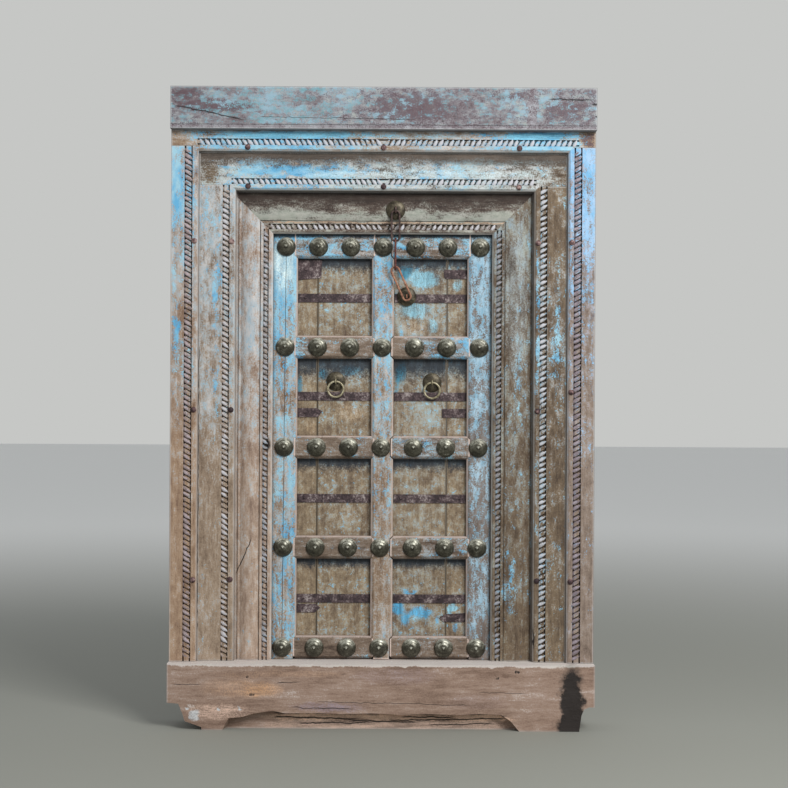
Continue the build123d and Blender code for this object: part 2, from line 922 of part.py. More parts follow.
for number, level in enumerate(rail_levels, start=1):
    rail(f"rail_left_{number}", left_rail_start, left_rail_end, level, left_rail_bosses)
    rail(f"rail_right_{number}", right_rail_start, right_rail_end, level, right_rail_bosses)


ring_foot = (boss_ring_radius - boss_ring_step[0], -boss_ring_height - boss_ring_step[1])
boss_dish = ((boss_ring_radius + boss_tip_radius) / 2, -boss_tip_base + boss_dish_drop)
tip_shoulder = (boss_tip_radius - boss_tip_step[0], -boss_tip_base - boss_tip_step[1])


def bosses(name, points):
    """Domed bosses on square shanks that run through the leaf and are clenched behind it."""
    with BuildPart() as studs:
        with BuildSketch(face_plane(leaf_back + clench_rise)):
            with Locations(*points):
                Rectangle(shank_side, shank_side)
        extrude(amount=leaf_thickness + clench_rise)
        with BuildSketch(face_plane(leaf_back + clench_rise)):
            with Locations(*[(x, z - clench_length / 2) for x, z in points]):
                Rectangle(shank_side, clench_length)
        extrude(amount=clench_rise)
        for x, z in points:
            seat = Plane(origin=(x, front + leaf_setback, z), x_dir=(1, 0, 0), z_dir=(0, 0, 1))
            with BuildSketch(seat):
                with BuildLine():
                    Polyline(
                        (0, -boss_height),
                        (0, 0),
                        (boss_radius, 0),
                        (boss_radius, -boss_rim),
                    )
                    ThreePointArc(
                        (boss_radius, -boss_rim),
                        (boss_radius * boss_shoulder[0], -boss_ring_height * boss_shoulder[1]),
                        (boss_ring_radius, -boss_ring_height),
                    )
                    Line((boss_ring_radius, -boss_ring_height), ring_foot)
                    ThreePointArc(ring_foot, boss_dish, (boss_tip_radius, -boss_tip_base))
                    Polyline((boss_tip_radius, -boss_tip_base), tip_shoulder, (0, -boss_height))
                make_face()
            revolve(axis=Axis((x, front + leaf_setback, z), (0, 1, 0)))
    save(studs.part, name)


bosses("bosses_left", left_bosses)
bosses("bosses_right", right_bosses)


def straps(name, side):
    """The four iron straps of a leaf, one across each panel."""
    start, end = strap_ends_x[side]
    with BuildPart() as bars:
        with BuildSketch(face_plane(board_setback)):
            with Locations(*[((start + end) / 2, z) for z in strap_levels]):
                Rectangle(end - start, strap_height)
        extrude(amount=strap_thickness)
        square_holes(
            strap_nail_points(side), strap_shank_side, catch_seat - cut_overlap,
            board_setback + cut_overlap,
        )
        if side == "right":
            round_holes(
                catch_legs, catch_staple_wire, catch_seat - cut_overlap,
                board_setback + cut_overlap,
            )
    save(bars.part, name)


def short_strap_ends(name, side):
    """The short strap ends of a leaf."""
    with BuildPart() as plates:
        for outline in short_end_outlines(side):
            with BuildSketch(face_plane(board_setback)):
                with BuildLine():
                    Polyline(*outline, close=True)
                make_face()
            extrude(amount=strap_thickness)
        square_holes(
            short_nail_points(side), strap_shank_side, catch_seat - cut_overlap,
            board_setback + cut_overlap,
        )
    save(plates.part, name)


def small_nails(name, points):
    """Round-headed nails that hold the iron straps to the boards."""
    with BuildPart() as nails:
        with BuildSketch(face_plane(board_setback + strap_shank_depth - leg_end_gap)):
            with Locations(*points):
                Rectangle(strap_shank_side, strap_shank_side)
        extrude(amount=strap_shank_depth - leg_end_gap + strap_thickness)
        for x, z in points:
            nail_head(x, z, catch_seat, strap_nail_radius, strap_nail_rise)
    save(nails.part, name)


def round_plate(name, place, seat, legs, wire):
    """A dished round plate with two holes for the legs of the staple."""
    x, z = place
    with BuildPart() as plate:
        with BuildSketch(Plane(origin=(x, front + seat, z), x_dir=(1, 0, 0), z_dir=(0, 0, 1))):
            with BuildLine():
                Polyline(
                    (plate_flat_radius, -plate_rise),
                    (0, -plate_rise),
                    (0, 0),
                    (plate_radius, 0),
                    (plate_radius, -plate_rim),
                )
                ThreePointArc(
                    (plate_radius, -plate_rim),
                    (
                        (plate_radius + plate_flat_radius) * plate_shoulder[0],
                        -plate_rise * plate_shoulder[1],
                    ),
                    (plate_flat_radius, -plate_rise),
                )
            make_face()
        revolve(axis=Axis((x, front + seat, z), (0, 1, 0)))
        round_holes(legs, wire, seat - plate_rise - cut_overlap, seat + cut_overlap)
    save(plate.part, name)


def staple(name, place, half_height, wire, bow, leg_end):
    """A bent wire whose legs go into the wood and whose bow, from its depth on, is round."""
    x, z = place
    with BuildPart() as loop:
        with BuildLine(Plane(origin=(x, front, z), x_dir=(0, 1, 0), z_dir=(1, 0, 0))) as path:
            Line((leg_end, half_height), (bow, half_height))
            ThreePointArc((bow, half_height), (bow - half_height, 0), (bow, -half_height))
            Line((bow, -half_height), (leg_end, -half_height))
        with BuildSketch(Plane(origin=path.line @ 0, z_dir=path.line % 0)):
            Circle(wire / 2)
        sweep()
    save(loop.part, name)


for side in ("left", "right"):
    straps(f"straps_{side}", side)
    short_strap_ends(f"strap_ends_{side}", side)
    small_nails(f"strap_nails_{side}", strap_nail_points(side) + short_nail_points(side))

# Ring pulls
ring_hang = board_setback - plate_rise - ring_wire / 2 - hang_clearance
ring_drop = staple_half_height - staple_wire / 2 - ring_wire / 2 - hang_clearance
for side, place in ring_places.items():
    x, z = place
    legs = leg_points(place, staple_half_height)
    round_plate(f"ring_plate_{side}", place, board_setback, legs, staple_wire)
    staple(
        f"ring_staple_{side}", place, staple_half_height, staple_wire, ring_hang,
        board_setback + staple_leg_depth - leg_end_gap,
    )
    with BuildPart() as ring:
        with Locations(Location((x, front + ring_hang, z - ring_drop - ring_radius), (90, 0, 0))):
            Torus(ring_radius, ring_wire / 2)
    save(ring.part, f"ring_{side}")

# Chain, hooked from the lintel's staple down to the staple on the right leaf
lintel_place = (lintel_x, lintel_z)
chain_hang = inner_setback - plate_seat_gap - plate_rise - link_wire / 2 - hang_clearance
round_plate(
    "lintel_plate", lintel_place, inner_setback - plate_seat_gap, lintel_legs, lintel_staple_wire
)
staple(
    "lintel_staple", lintel_place, lintel_staple_half_height, lintel_staple_wire, chain_hang,
    inner_setback + staple_leg_depth,
)
round_plate("catch_plate", catch_place, catch_seat, catch_legs, catch_staple_wire)
catch_hang = catch_seat - plate_rise - link_wire / 2 - link_lean_room
staple(
    "catch_staple", catch_place, catch_staple_half_height, catch_staple_wire,
    catch_hang - catch_reach, board_setback + staple_leg_depth - leg_end_gap,
)

wire_step = link_wire + hang_clearance


def down_and_back(tilt):
    """Unit vector that points down, tilted towards the leaf."""
    return Vector(0, math.sin(math.radians(tilt)), -math.cos(math.radians(tilt)))


link_drop = lintel_staple_half_height - lintel_staple_wire / 2 - link_wire / 2 - hang_clearance
link_1_down = down_and_back(link_1_tilt)
link_2_down = down_and_back(link_2_tilt)
link_1_top = Vector(lintel_x, front + chain_hang, lintel_z - link_drop)
link_1_foot = link_1_top + link_1_down * link_length
link_2_top = link_1_foot - link_2_down * wire_step
link_2_foot = link_2_top + link_2_down * link_length
link_3_top = link_2_foot - link_2_down * wire_step
catch_point = Vector(catch_place[0], front + catch_hang, catch_place[1])
link_3_up = Vector(0, link_3_top.Y - catch_point.Y, link_3_top.Z - catch_point.Z).normalized()


def link(name, start, end, across):
    """A long wire link between the middles of its two round ends."""
    up = (start - end).normalized()
    sideways = (across - up * across.dot(up)).normalized()
    reach = (start - end).length
    half = link_half_width
    with BuildPart() as loop:
        with BuildLine(Plane(origin=start, x_dir=sideways, z_dir=sideways.cross(up))) as path:
            Line((half, -reach / 2), (half, 0))
            ThreePointArc((half, 0), (0, half), (-half, 0))
            Line((-half, 0), (-half, -reach))
            ThreePointArc((-half, -reach), (0, -reach - half), (half, -reach))
            Line((half, -reach), (half, -reach / 2))
        with BuildSketch(Plane(origin=path.line @ 0, z_dir=path.line % 0)):
            Circle(link_wire / 2)
        sweep()
    save(loop.part, name)


sideways_x = Vector(1, 0, 0)
sideways_y = Vector(0, 1, 0)
link(
    "chain_link_1", link_1_top + link_1_down * link_half_width,
    link_1_foot - link_1_down * link_half_width, sideways_x,
)
link(
    "chain_link_2", link_2_top + link_2_down * link_half_width,
    link_2_foot - link_2_down * link_half_width, sideways_y,
)
link("chain_link_3", link_3_top - link_3_up * link_half_width, catch_point, sideways_x)

print("door", total_width, "x", door_height, "x", frame_depth)
print("pivots", pivot_left_x, pivot_right_x, pivot_y)
print("link hinges", link_1_top, link_1_foot, link_3_top, catch_point)
print("ring hinges", ring_places, front + ring_hang, ring_drop)
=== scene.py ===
# %% [markdown]
# # A carved double-leaf door
# The CAD gives the whole frame of this door: every timber, board, boss, strap, ring and link in
# its true place. What it can't give is age. This lesson starts from the imported solids, keeps the
# ones whose shape is right, carves fuller rope strands over the plain notched beads, and then
# spends most of its length on finishes: chalky blue paint worn back to bare timber, grime and
# painted shade in the hollows, painted shadow under the ledges, painted highlights on edges and
# crests, bronze patina on the bosses and rust on the chain.

# %% Load the frame
import math

import bpy
from mathutils import Matrix, Vector


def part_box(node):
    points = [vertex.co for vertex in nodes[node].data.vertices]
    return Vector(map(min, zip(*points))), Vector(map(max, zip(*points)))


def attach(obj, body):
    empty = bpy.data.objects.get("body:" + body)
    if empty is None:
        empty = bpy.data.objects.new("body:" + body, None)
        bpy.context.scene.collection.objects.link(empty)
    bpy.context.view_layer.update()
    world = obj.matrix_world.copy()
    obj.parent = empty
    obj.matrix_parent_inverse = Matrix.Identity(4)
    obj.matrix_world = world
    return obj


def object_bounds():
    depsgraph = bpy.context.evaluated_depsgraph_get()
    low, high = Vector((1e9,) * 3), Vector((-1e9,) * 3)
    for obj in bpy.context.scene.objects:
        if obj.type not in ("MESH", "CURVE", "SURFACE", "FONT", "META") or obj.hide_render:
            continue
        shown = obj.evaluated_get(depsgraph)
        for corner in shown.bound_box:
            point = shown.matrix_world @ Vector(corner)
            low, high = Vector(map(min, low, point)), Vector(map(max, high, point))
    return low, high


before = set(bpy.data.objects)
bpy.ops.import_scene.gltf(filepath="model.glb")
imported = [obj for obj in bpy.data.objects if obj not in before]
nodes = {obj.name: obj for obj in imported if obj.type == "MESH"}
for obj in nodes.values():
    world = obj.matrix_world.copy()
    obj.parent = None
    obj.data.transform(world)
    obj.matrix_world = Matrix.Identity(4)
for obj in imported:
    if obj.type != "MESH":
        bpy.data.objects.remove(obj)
cad_low, cad_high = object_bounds()
print("solids:", len(nodes), "box:", tuple(cad_low), tuple(cad_high))


# %% [markdown]
# ## Shader maths as plain expressions
# A worn surface is a sum of masks: how high up, how near an edge, how noisy. Built by hand in the
# node editor that is dozens of Math nodes. Here a small class wraps one output socket, so that an
# expression such as `1 - wear * 0.5` adds the nodes by itself, and one method makes any other
# node from its type, its settings and its inputs. The same two classes serve materials, the
# studio's sky and the geometry nodes of the ropes.

# %% A socket that can be added, multiplied and compared
class Field:
    """One output of a node. Arithmetic on it adds Math nodes to the same tree."""

    def __init__(self, tree, socket):
        self.tree = tree
        self.socket = socket

    def also(self, name):
        """Another output of the node that this field comes from."""
        return Field(self.tree, self.socket.node.outputs[name])

    def maths(self, operation, *values, clamp=False):
        settings = {"operation": operation, "use_clamp": clamp}
        return self.tree.node("ShaderNodeMath", settings, dict(enumerate(values)))

    def __add__(self, other):
        return self.maths("ADD", self, other)

    def __sub__(self, other):
        return self.maths("SUBTRACT", self, other)

    def __rsub__(self, other):
        return self.maths("SUBTRACT", other, self)

    def __mul__(self, other):
        return self.maths("MULTIPLY", self, other)

    def __truediv__(self, other):
        return self.maths("DIVIDE", self, other)

    __radd__ = __add__
    __rmul__ = __mul__

    def lesser(self, other):
        return self.maths("MINIMUM", self, other)

    def greater(self, other):
        return self.maths("MAXIMUM", self, other)

    def size(self):
        return self.maths("ABSOLUTE", self)

    def held(self):
        """The same field, held between 0 and 1."""
        return self.maths("ADD", self, 0.0, clamp=True)

    def rise(self, low, high):
        """A smooth step from 0 to 1 as the field goes from low to high. It falls if high < low."""
        settings = {"interpolation_type": "SMOOTHSTEP"}
        values = {"Value": self, "From Min": low, "From Max": high, "To Min": 0.0, "To Max": 1.0}
        if high < low:
            values.update({"From Min": high, "From Max": low, "To Min": 1.0, "To Max": 0.0})
        return self.tree.node("ShaderNodeMapRange", settings, values)


# %% A node tree, and one method that adds any node to it
class Tree:
    """A node tree under construction. Its methods add nodes and give back a Field."""

    def __init__(self, tree):
        self.tree = tree
        self.tree.nodes.clear()

    def node(self, kind, settings, inputs, output=0):
        """Adds any node: its type, its settings, its socket values or links, the output wanted."""
        made = self.tree.nodes.new(kind)
        for key, value in settings.items():
            if key == "stops":
                ramp = made.color_ramp
                while len(ramp.elements) < len(value):
                    ramp.elements.new(1.0)
                for element, (position, colour) in zip(ramp.elements, value):
                    element.position = position
                    element.color = colour if hasattr(colour, "__len__") else (colour,) * 3 + (1,)
            else:
                setattr(made, key, value)
        for key, value in inputs.items():
            if isinstance(value, Field):
                self.tree.links.new(value.socket, made.inputs[key])
            else:
                made.inputs[key].default_value = value
        return Field(self, made.outputs[output]) if len(made.outputs) else None

    def parts(self, vector):
        """The x, y and z of a vector."""
        split = self.node("ShaderNodeSeparateXYZ", {}, {0: vector})
        return split.also("X"), split.also("Y"), split.also("Z")


def tone(red, green, blue):
    """A colour from the 0 to 255 numbers of a colour chart, as the linear values shaders use."""
    def linear(c):
        c /= 255
        return c / 12.92 if c <= 0.04045 else ((c + 0.055) / 1.055) ** 2.4

    return (linear(red), linear(green), linear(blue), 1.0)


# %% A finish: one material and its tree
class Finish(Tree):
    """A material under construction. Its fields follow the place on the piece, in metres."""

    def __init__(self, name):
        self.material = bpy.data.materials.new(name)
        self.material.use_nodes = True
        super().__init__(self.material.node_tree)
        self.place = self.node("ShaderNodeTexCoord", {}, {}, "Object")
        self.x, self.y, self.z = self.parts(self.place)

    def scaled(self, vector, factors):
        """A position stretched by different factors along x, y and z."""
        return self.node("ShaderNodeVectorMath", {"operation": "MULTIPLY"},
                         {0: vector, 1: factors})

    def moved(self, vector, offset):
        return self.node("ShaderNodeVectorMath", {"operation": "ADD"}, {0: vector, 1: offset})

    def noise(self, vector, scale, detail=3.0, roughness=0.55, output=0):
        return self.node("ShaderNodeTexNoise", {}, {
            "Vector": vector, "Scale": scale, "Detail": detail, "Roughness": roughness,
        }, output)

    def mix(self, factor, first, second):
        """Mixes two colours by a field. A Mix node keeps its colours at sockets 6, 7 and 2."""
        settings = {"data_type": "RGBA"}
        return self.node("ShaderNodeMix", settings, {0: factor, 6: first, 7: second}, 2)

    def ramp(self, field, stops):
        return self.node("ShaderNodeValToRGB", {"stops": stops}, {0: field})

    def level(self, field, low, high, values):
        """A value that follows a list of heights spread evenly between low and high."""
        if len(values) == 1:
            return field * 0.0 + values[0]
        share = (field - low) / (high - low)
        last = len(values) - 1
        return self.ramp(share.held(), [(i / last, v) for i, v in enumerate(values)])

    def patches(self, vector, spots):
        """Adds up soft oval spots, each (x, z, half width, half height, strength).

        A spot is full in its inner third and has faded out a quarter beyond its half sizes.
        """
        total = None
        for x, z, wide, high, strength in spots:
            local = self.scaled(self.moved(vector, (-x, 0, -z)), (1 / wide, 0, 1 / high))
            reach = self.node("ShaderNodeVectorMath", {"operation": "LENGTH"}, {0: local}, "Value")
            spot = reach.rise(1.25, 0.35) * strength
            total = spot if total is None else total + spot
        return total

    def crack(self, start, end, width, wander=0.012):
        """A line between two points (x, z), fading at its ends and wandering a little."""
        run = Vector(end) - Vector(start)
        length = run.length
        way = run / length
        over, up = self.x - start[0], self.z - start[1]
        drift = (self.noise(self.place, 30.0, 3.0) - 0.5) * wander
        away = (over * way.y - up * way.x + drift).size()
        done = over * way.x + up * way.y
        inside = done.rise(0.0, 0.02) * done.rise(length, length - 0.03)
        return away.rise(width * 1.6, width * 0.5) * inside

    def close(self, colour, roughness, bump=None, strength=0.3, distance=0.001, metallic=0.0):
        """Joins colour, roughness and height to the shader and gives back the material."""
        inputs = {"Base Color": colour, "Roughness": roughness, "Metallic": metallic}
        if bump is not None:
            inputs["Normal"] = self.node("ShaderNodeBump", {}, {
                "Strength": strength, "Distance": distance, "Height": bump,
            })
        shader = self.node("ShaderNodeBsdfPrincipled", {}, inputs)
        self.node("ShaderNodeOutputMaterial", {}, {"Surface": shader})
        return self.material


print("mid grey of a colour chart, in linear light:", tone(128, 128, 128)[0])

# %% [markdown]
# ## Worn paint on old timber
# The real timbers carry several layers: the wood, a thin chalky wash that has sunk into the
# grain, and a sky-blue distemper on top, which hands, weather and scraping have taken off in
# patches. Each layer is a coverage field with a threshold. The coverage comes from a curve along
# the timber, a few listed patches, and noise: blotches a finger wide, streaks along the
# grain and specks of a few millimetres. A soft threshold gives a wash, a sharp one gives paint
# with an edge. Painting a picture would be quicker, but these layers are also right on every
# side, and at any distance.

# %% Colours of timber and paint
# Paint, dirt, glaze and painted shade are single tones
SKY_BLUE = tone(84, 172, 218)
SKY_PALE = tone(158, 206, 226)
TURQUOISE = tone(98, 150, 160)
TURQUOISE_PALE = tone(146, 176, 192)
CHALK = tone(206, 207, 208)
CHALK_BLUE = tone(156, 188, 206)
CHALK_GREEN = tone(164, 172, 162)
PRIMER = tone(104, 80, 88)
PRIMER_DARK_AND_SHADE = tone(70, 52, 58)
GRIME_AND_SHADE = tone(52, 40, 34)
SOOT_AND_SHADE = tone(22, 18, 18)
DEEP_BLUE_SHADE = tone(28, 46, 60)
TEAL = tone(66, 134, 160)
GOLD = tone(188, 154, 116)
EDGE_PINK = tone(246, 224, 214)
VIOLET = tone(146, 132, 146)
# Each wood has a dark, a middle and a pale tone
TAN = (tone(112, 90, 72), tone(160, 137, 114), tone(194, 172, 148))
WARM = (tone(116, 90, 72), tone(164, 137, 113), tone(198, 171, 146))
PALE_WARM = (tone(126, 104, 90), tone(175, 152, 134), tone(208, 188, 170))
GREYED = (tone(98, 82, 72), tone(140, 123, 110), tone(169, 153, 141))
SOFT_TAN = (tone(110, 92, 76), tone(157, 137, 117), tone(190, 171, 152))
DULL = (tone(88, 76, 70), tone(128, 116, 108), tone(160, 148, 140))
PALE = (tone(104, 94, 98), tone(144, 141, 147), tone(176, 182, 188))
OLIVE = (tone(68, 54, 42), tone(112, 95, 76), tone(148, 129, 102))
RAIL = (tone(72, 57, 47), tone(124, 107, 92), tone(160, 142, 126))
BOARD = (tone(88, 72, 60), tone(140, 122, 98), tone(182, 160, 128))
BROWN = (tone(60, 46, 40), tone(100, 84, 74), tone(140, 124, 110))
SILL_WOOD = (tone(118, 94, 80), tone(156, 131, 115), tone(178, 156, 144))
# How far the wash, the primer and the blue hide what is below them, where they are whole
WASH_BODY, PRIMER_BODY, BLUE_BODY = 0.75, 0.85, 0.92


# %% Noise that follows the grain
class Grain:
    """The noise fields that all layers of one timber share.

    A scale of 420 gives fibres about 2 mm apart, one of 15 clouds of some 70 mm. Fibres and
    streaks are drawn out ten times along the grain, and patches by the stretch that is given.
    """

    def __init__(self, f, grain, seed, stretch):
        here = f.moved(f.place, (seed, seed * 0.7, seed * 1.3))
        along_x = grain == "x"
        far = (0.1, 1.0, 1.0) if along_x else (1.0, 1.0, 0.1)
        near = (stretch, 1.0, 1.0) if along_x else (1.0, 1.0, stretch)
        self.fibres = f.noise(f.scaled(here, far), 420.0, 3.0, 0.6) - 0.5
        self.streaks = f.noise(f.scaled(here, far), 85.0, 4.0, 0.62) - 0.5
        patchy = f.noise(f.scaled(here, near), 58.0, 6.0, 0.66, "Color")
        split = f.node("ShaderNodeSeparateColor", {}, {0: patchy})
        self.blotch = split.also("Red") - 0.5
        self.cloud = split.also("Green") - 0.5
        self.fleck = split.also("Blue") - 0.5
        self.broad = f.noise(f.scaled(here, near), 15.0, 5.0, 0.62) - 0.5
        self.speckle = f.noise(here, 260.0, 4.0, 0.75) - 0.5
        wobble = f.noise(here, 22.0, 4.0, 0.65, "Color")
        reach = (0.07, 0, 0.022) if along_x else (0.022, 0, 0.07)
        shake = f.scaled(f.moved(wobble, (-0.5, -0.5, -0.5)), reach)
        self.warped = f.node("ShaderNodeVectorMath", {"operation": "ADD"}, {0: f.place, 1: shake})


# %% Bare wood, and how much there is of a layer
def wood_layer(f, g, colours):
    """Bare timber, from its dark to its pale parts."""
    shade = g.cloud * 0.9 + g.broad * 1.1 + g.streaks * 0.7 + g.fibres * 0.6 + g.speckle * 0.9
    return f.ramp((shade + 0.5).held(), [(0.12, colours[0]), (0.5, colours[1]), (0.88, colours[2])])


def coverage(f, g, axis, span, values, spots):
    """How much of a layer there is: a curve along the timber, and patches."""
    along = f.x if axis == "x" else f.z
    field = f.level(along, span[0], span[1], values)
    if spots:
        field = field + f.patches(g.warped, spots)
    return field


# %% All layers of one timber
def timber(name, grain, face, wood, seed, wash=(0.3,), blue=(0.2,), primer=(0.0,),
           wash_spots=(), blue_spots=(), primer_spots=(), dark_spots=(), cracks=(),
           washes=(CHALK, CHALK_BLUE), blues=(SKY_BLUE, SKY_PALE), tints=(), shade_bands=(),
           edge=CHALK, arris=0.5, highlight_lower_edge=True, joints=0.7, corner_shade=0.6, grime=0.5,
           reach=0.03, sunk_depth=0.004, stretch=0.5):
    """A worn painted timber, as layers from the wood outward.

    grain is "x" or "z", face the y of its front, and wood its dark, middle and pale tone.
    wash, blue and primer are coverages spread evenly along the grain, and their spots are
    (x, z, half width, half height, strength). washes and blues are the two tones that each is
    mixed from. dark_spots and cracks are burnt and open places on the front; a dark spot also
    serves as a painted shadow. tints lays other colours over the paint, each a colour and its
    spots, and some of them are painted light. shade_bands lays painted shade straight down from
    the edge of a ledge above, each (colour, top z, reach, strength).

    edge is the tone that edges are rubbed to, which is also a painted highlight, and arris how
    far. highlight_lower_edge says whether the lower one gets it too. joints is the dirt around
    the outline, corner_shade the painted shade in corners, with some grime, and grime the dirt in
    pores. Paint ends reach behind the face, what lies deeper than sunk_depth counts as sunk and
    is painted darker as shade, and a stretch under 1 draws patches out along the grain.
    """
    f = Finish(name)
    g = Grain(f, grain, seed, stretch)
    low, high = (Vector(corner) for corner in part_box(name))
    span = (low.x, high.x) if grain == "x" else (low.z, high.z)
    painted_side = (f.y - face).rise(reach, reach * 0.4)
    colour = wood_layer(f, g, wood)

    if max(wash) > 0:
        cover = coverage(f, g, grain, span, wash, wash_spots)
        field = cover + g.cloud * 1.7 + g.broad * 1.0 + g.speckle * 1.9 + g.streaks * 0.6
        wash_colour = f.mix((g.fleck * 4 + 0.5).held(), washes[0], washes[1])
        share = field.rise(0.2, 0.85) * WASH_BODY * painted_side
        colour = f.mix(share, colour, wash_colour)
    if max(primer) > 0 or primer_spots:
        cover = coverage(f, g, grain, span, primer, primer_spots)
        field = cover + g.fleck * 1.6 + g.speckle * 3.0 + g.streaks * 0.5
        primer_colour = f.mix((g.speckle * 4 + 0.5).held(), PRIMER, PRIMER_DARK_AND_SHADE)
        share = field.rise(0.42, 0.66) * PRIMER_BODY * painted_side
        colour = f.mix(share, colour, primer_colour)
    paint = None
    if max(blue) > 0 or blue_spots:
        cover = coverage(f, g, grain, span, blue, blue_spots)
        field = cover + g.blotch * 2.1 + g.broad * 1.0 + g.speckle * 2.0 + g.streaks * 0.6
        paint = field.rise(0.42, 0.64) * painted_side
        paint_colour = f.mix((g.fleck * 3 + g.broad * 3 + 0.5).held(), blues[0], blues[1])
        colour = f.mix(paint * BLUE_BODY, colour, paint_colour)

    uneven = (g.streaks * 2.2 + g.broad * 1.4 + g.fibres * 1.6 + g.speckle * 2.0 + 0.5).held()

    def laid(tint, share, below):
        """Lays a tint over what is below, mottled between a darker and a paler shade of it."""
        pair = [tuple(min(1.0, c * factor) for c in tint[:3]) + (1.0,) for factor in (0.58, 1.45)]
        return f.mix(share * painted_side, below, f.mix(uneven, *pair))

    for tint, spots in tints:
        share = f.patches(g.warped, spots)
        share = (share + share * (g.cloud * 1.6 + g.speckle * 2.6)).rise(0.12, 0.9)
        colour = laid(tint, share, colour)
    # Painted shade: darker straight down from the edge of a ledge above, where its shadow falls
    for tint, top, reach_down, strength in shade_bands:
        ragged = (g.cloud * 0.9 + g.broad * 0.6 + g.speckle * 1.2) * reach_down
        down = (f.z * -1.0 + top + ragged).rise(reach_down, reach_down * 0.3)
        share = down * (f.z - top).rise(0.03, 0.02) * strength
        colour = laid(tint, share.held(), colour)

    # The edges are rubbed pale with a painted highlight, dirt sits in joints, pores and cracks, and
    # hollows get painted shade
    inset = (f.x - low.x).lesser(high.x - f.x).lesser(high.z - f.z)
    if highlight_lower_edge:
        inset = inset.lesser(f.z - low.z)
    rub_and_highlight = (inset + g.speckle * 0.008).rise(0.0060, 0.001) * (arris * painted_side)
    colour = f.mix(rub_and_highlight, colour, f.mix(0.3, edge, wood[2]))
    joint = inset.rise(0.0014, 0.0003) * (f.y - face).rise(0.004, 0.001) * joints
    colour = f.mix(joint, colour, SOOT_AND_SHADE)
    pores = (g.fibres * 0.7 + g.speckle).rise(0.13, 0.27) * grime
    colour = f.mix(pores, colour, GRIME_AND_SHADE)
    marks = f.patches(g.warped, dark_spots) if dark_spots else None
    for crack in cracks:
        line = f.crack(*crack)
        marks = line if marks is None else marks.greater(line)
    if marks is not None:
        # Burn and cracks have faded out before they come through to the back
        marks = marks * (f.y - face).rise(0.09, 0.05)
        colour = f.mix((marks + marks * g.speckle * 1.5).held() * 0.96, colour, SOOT_AND_SHADE)
    # Painted shade with some grime: darker in corners found by ambient occlusion, and in sunk
    # places
    hollow = f.node("ShaderNodeAmbientOcclusion", {"samples": 4}, {"Distance": 0.028}, "AO")
    sunk = (f.y - face).rise(sunk_depth * 0.5, sunk_depth * 1.6)
    # A narrow channel gets more painted shade than the broad steps of the inner frame
    sunk_shade = 0.45 if sunk_depth < 0.01 else 0.1
    shade_and_grime = (1 - hollow).rise(0.3, 1.0) * corner_shade + sunk * sunk_shade
    colour = f.mix((shade_and_grime + g.blotch * shade_and_grime).held() * painted_side, colour, GRIME_AND_SHADE)

    height = g.fibres * 0.9 + g.streaks * 1.0 + g.speckle * 0.8 + g.blotch * 0.5
    if paint is not None:
        height = height + paint * 0.3
    if marks is not None:
        height = height - marks * 1.5
    return f.close(colour, (g.speckle * 0.4 + 0.8).held(), height, 0.6, 0.0012)


def dress(node, material):
    """Gives a CAD node its finish."""
    for slot in nodes[node].material_slots:
        slot.material = material


# Of these, the bands are painted shade, the rubbed edges are also a painted highlight, and the dirt
# in hollows is painted shade with grime
print("layers of a timber: wood, wash, primer, blue, tints, bands, rubbed edges and dirt")


# %% [markdown]
# ## The head beam and the sill
# The beam on top has another history than the frame below it: green-blue over a purple-brown
# primer, rubbed into specks, with a bare strip along its lower edge. The sill has lost nearly all
# its paint: it is bare, foot-worn timber, pale on its top edge, with a burn at the right. Both
# could be unwrapped and painted by hand. Here they are two calls of the one function, with other
# coverages, spots and cracks, so a value that is changed shows in the next render.

# %% Dress the beam and the sill
FRONT = cad_low.y
beam_y = FRONT + 0.015


def toe_row(z, half_height):
    """Three long spots side by side, low on the sill, where its edge has splintered away."""
    middles = ((-0.22, 0.16), (0.02, 0.18), (0.27, 0.16))
    return tuple((x, z, half_width, half_height, 1.0) for x, half_width in middles)


dress("head_beam", timber(
    "head_beam", "x", beam_y, PALE, seed=3.1, grime=0.7,
    wash=(0.35, 0.4, 0.45), washes=(CHALK_GREEN, TURQUOISE_PALE), stretch=0.7,
    primer=(0.5, 0.35, 0.35, 0.5, 0.5, 0.45, 0.5),
    primer_spots=(
        (-0.53, 1.940, 0.13, 0.022, 0.8), (-0.61, 1.975, 0.05, 0.018, 0.5),
        (0.09, 1.935, 0.13, 0.05, 0.45), (0.57, 1.93, 0.08, 0.04, 0.35),
        (0.40, 1.975, 0.08, 0.015, 0.4),
    ),
    blue=(0.35, 0.45, 0.5, 0.5, 0.3, 0.25, 0.35, 0.4, 0.3, 0.25),
    blues=(TURQUOISE, TURQUOISE_PALE),
    blue_spots=((0, 1.876, 1.6, 0.010, -0.8), (0.462, 1.93, 0.013, 0.09, -0.8)),
    wash_spots=((0.462, 1.93, 0.013, 0.09, -0.8), (0, 1.873, 1.6, 0.008, -0.6)),
    cracks=(((-0.656, 1.941), (-0.428, 1.894), 0.0016), ((0.509, 1.965), (0.662, 1.961), 0.0016),
            ((-0.39, 1.905), (0.1, 1.899), 0.0007)),
    dark_spots=((0.652, 1.947, 0.007, 0.004, 1.0), (0.655, 1.908, 0.004, 0.003, 1.0),
                (0.18, 1.893, 0.006, 0.003, 0.8)),
))
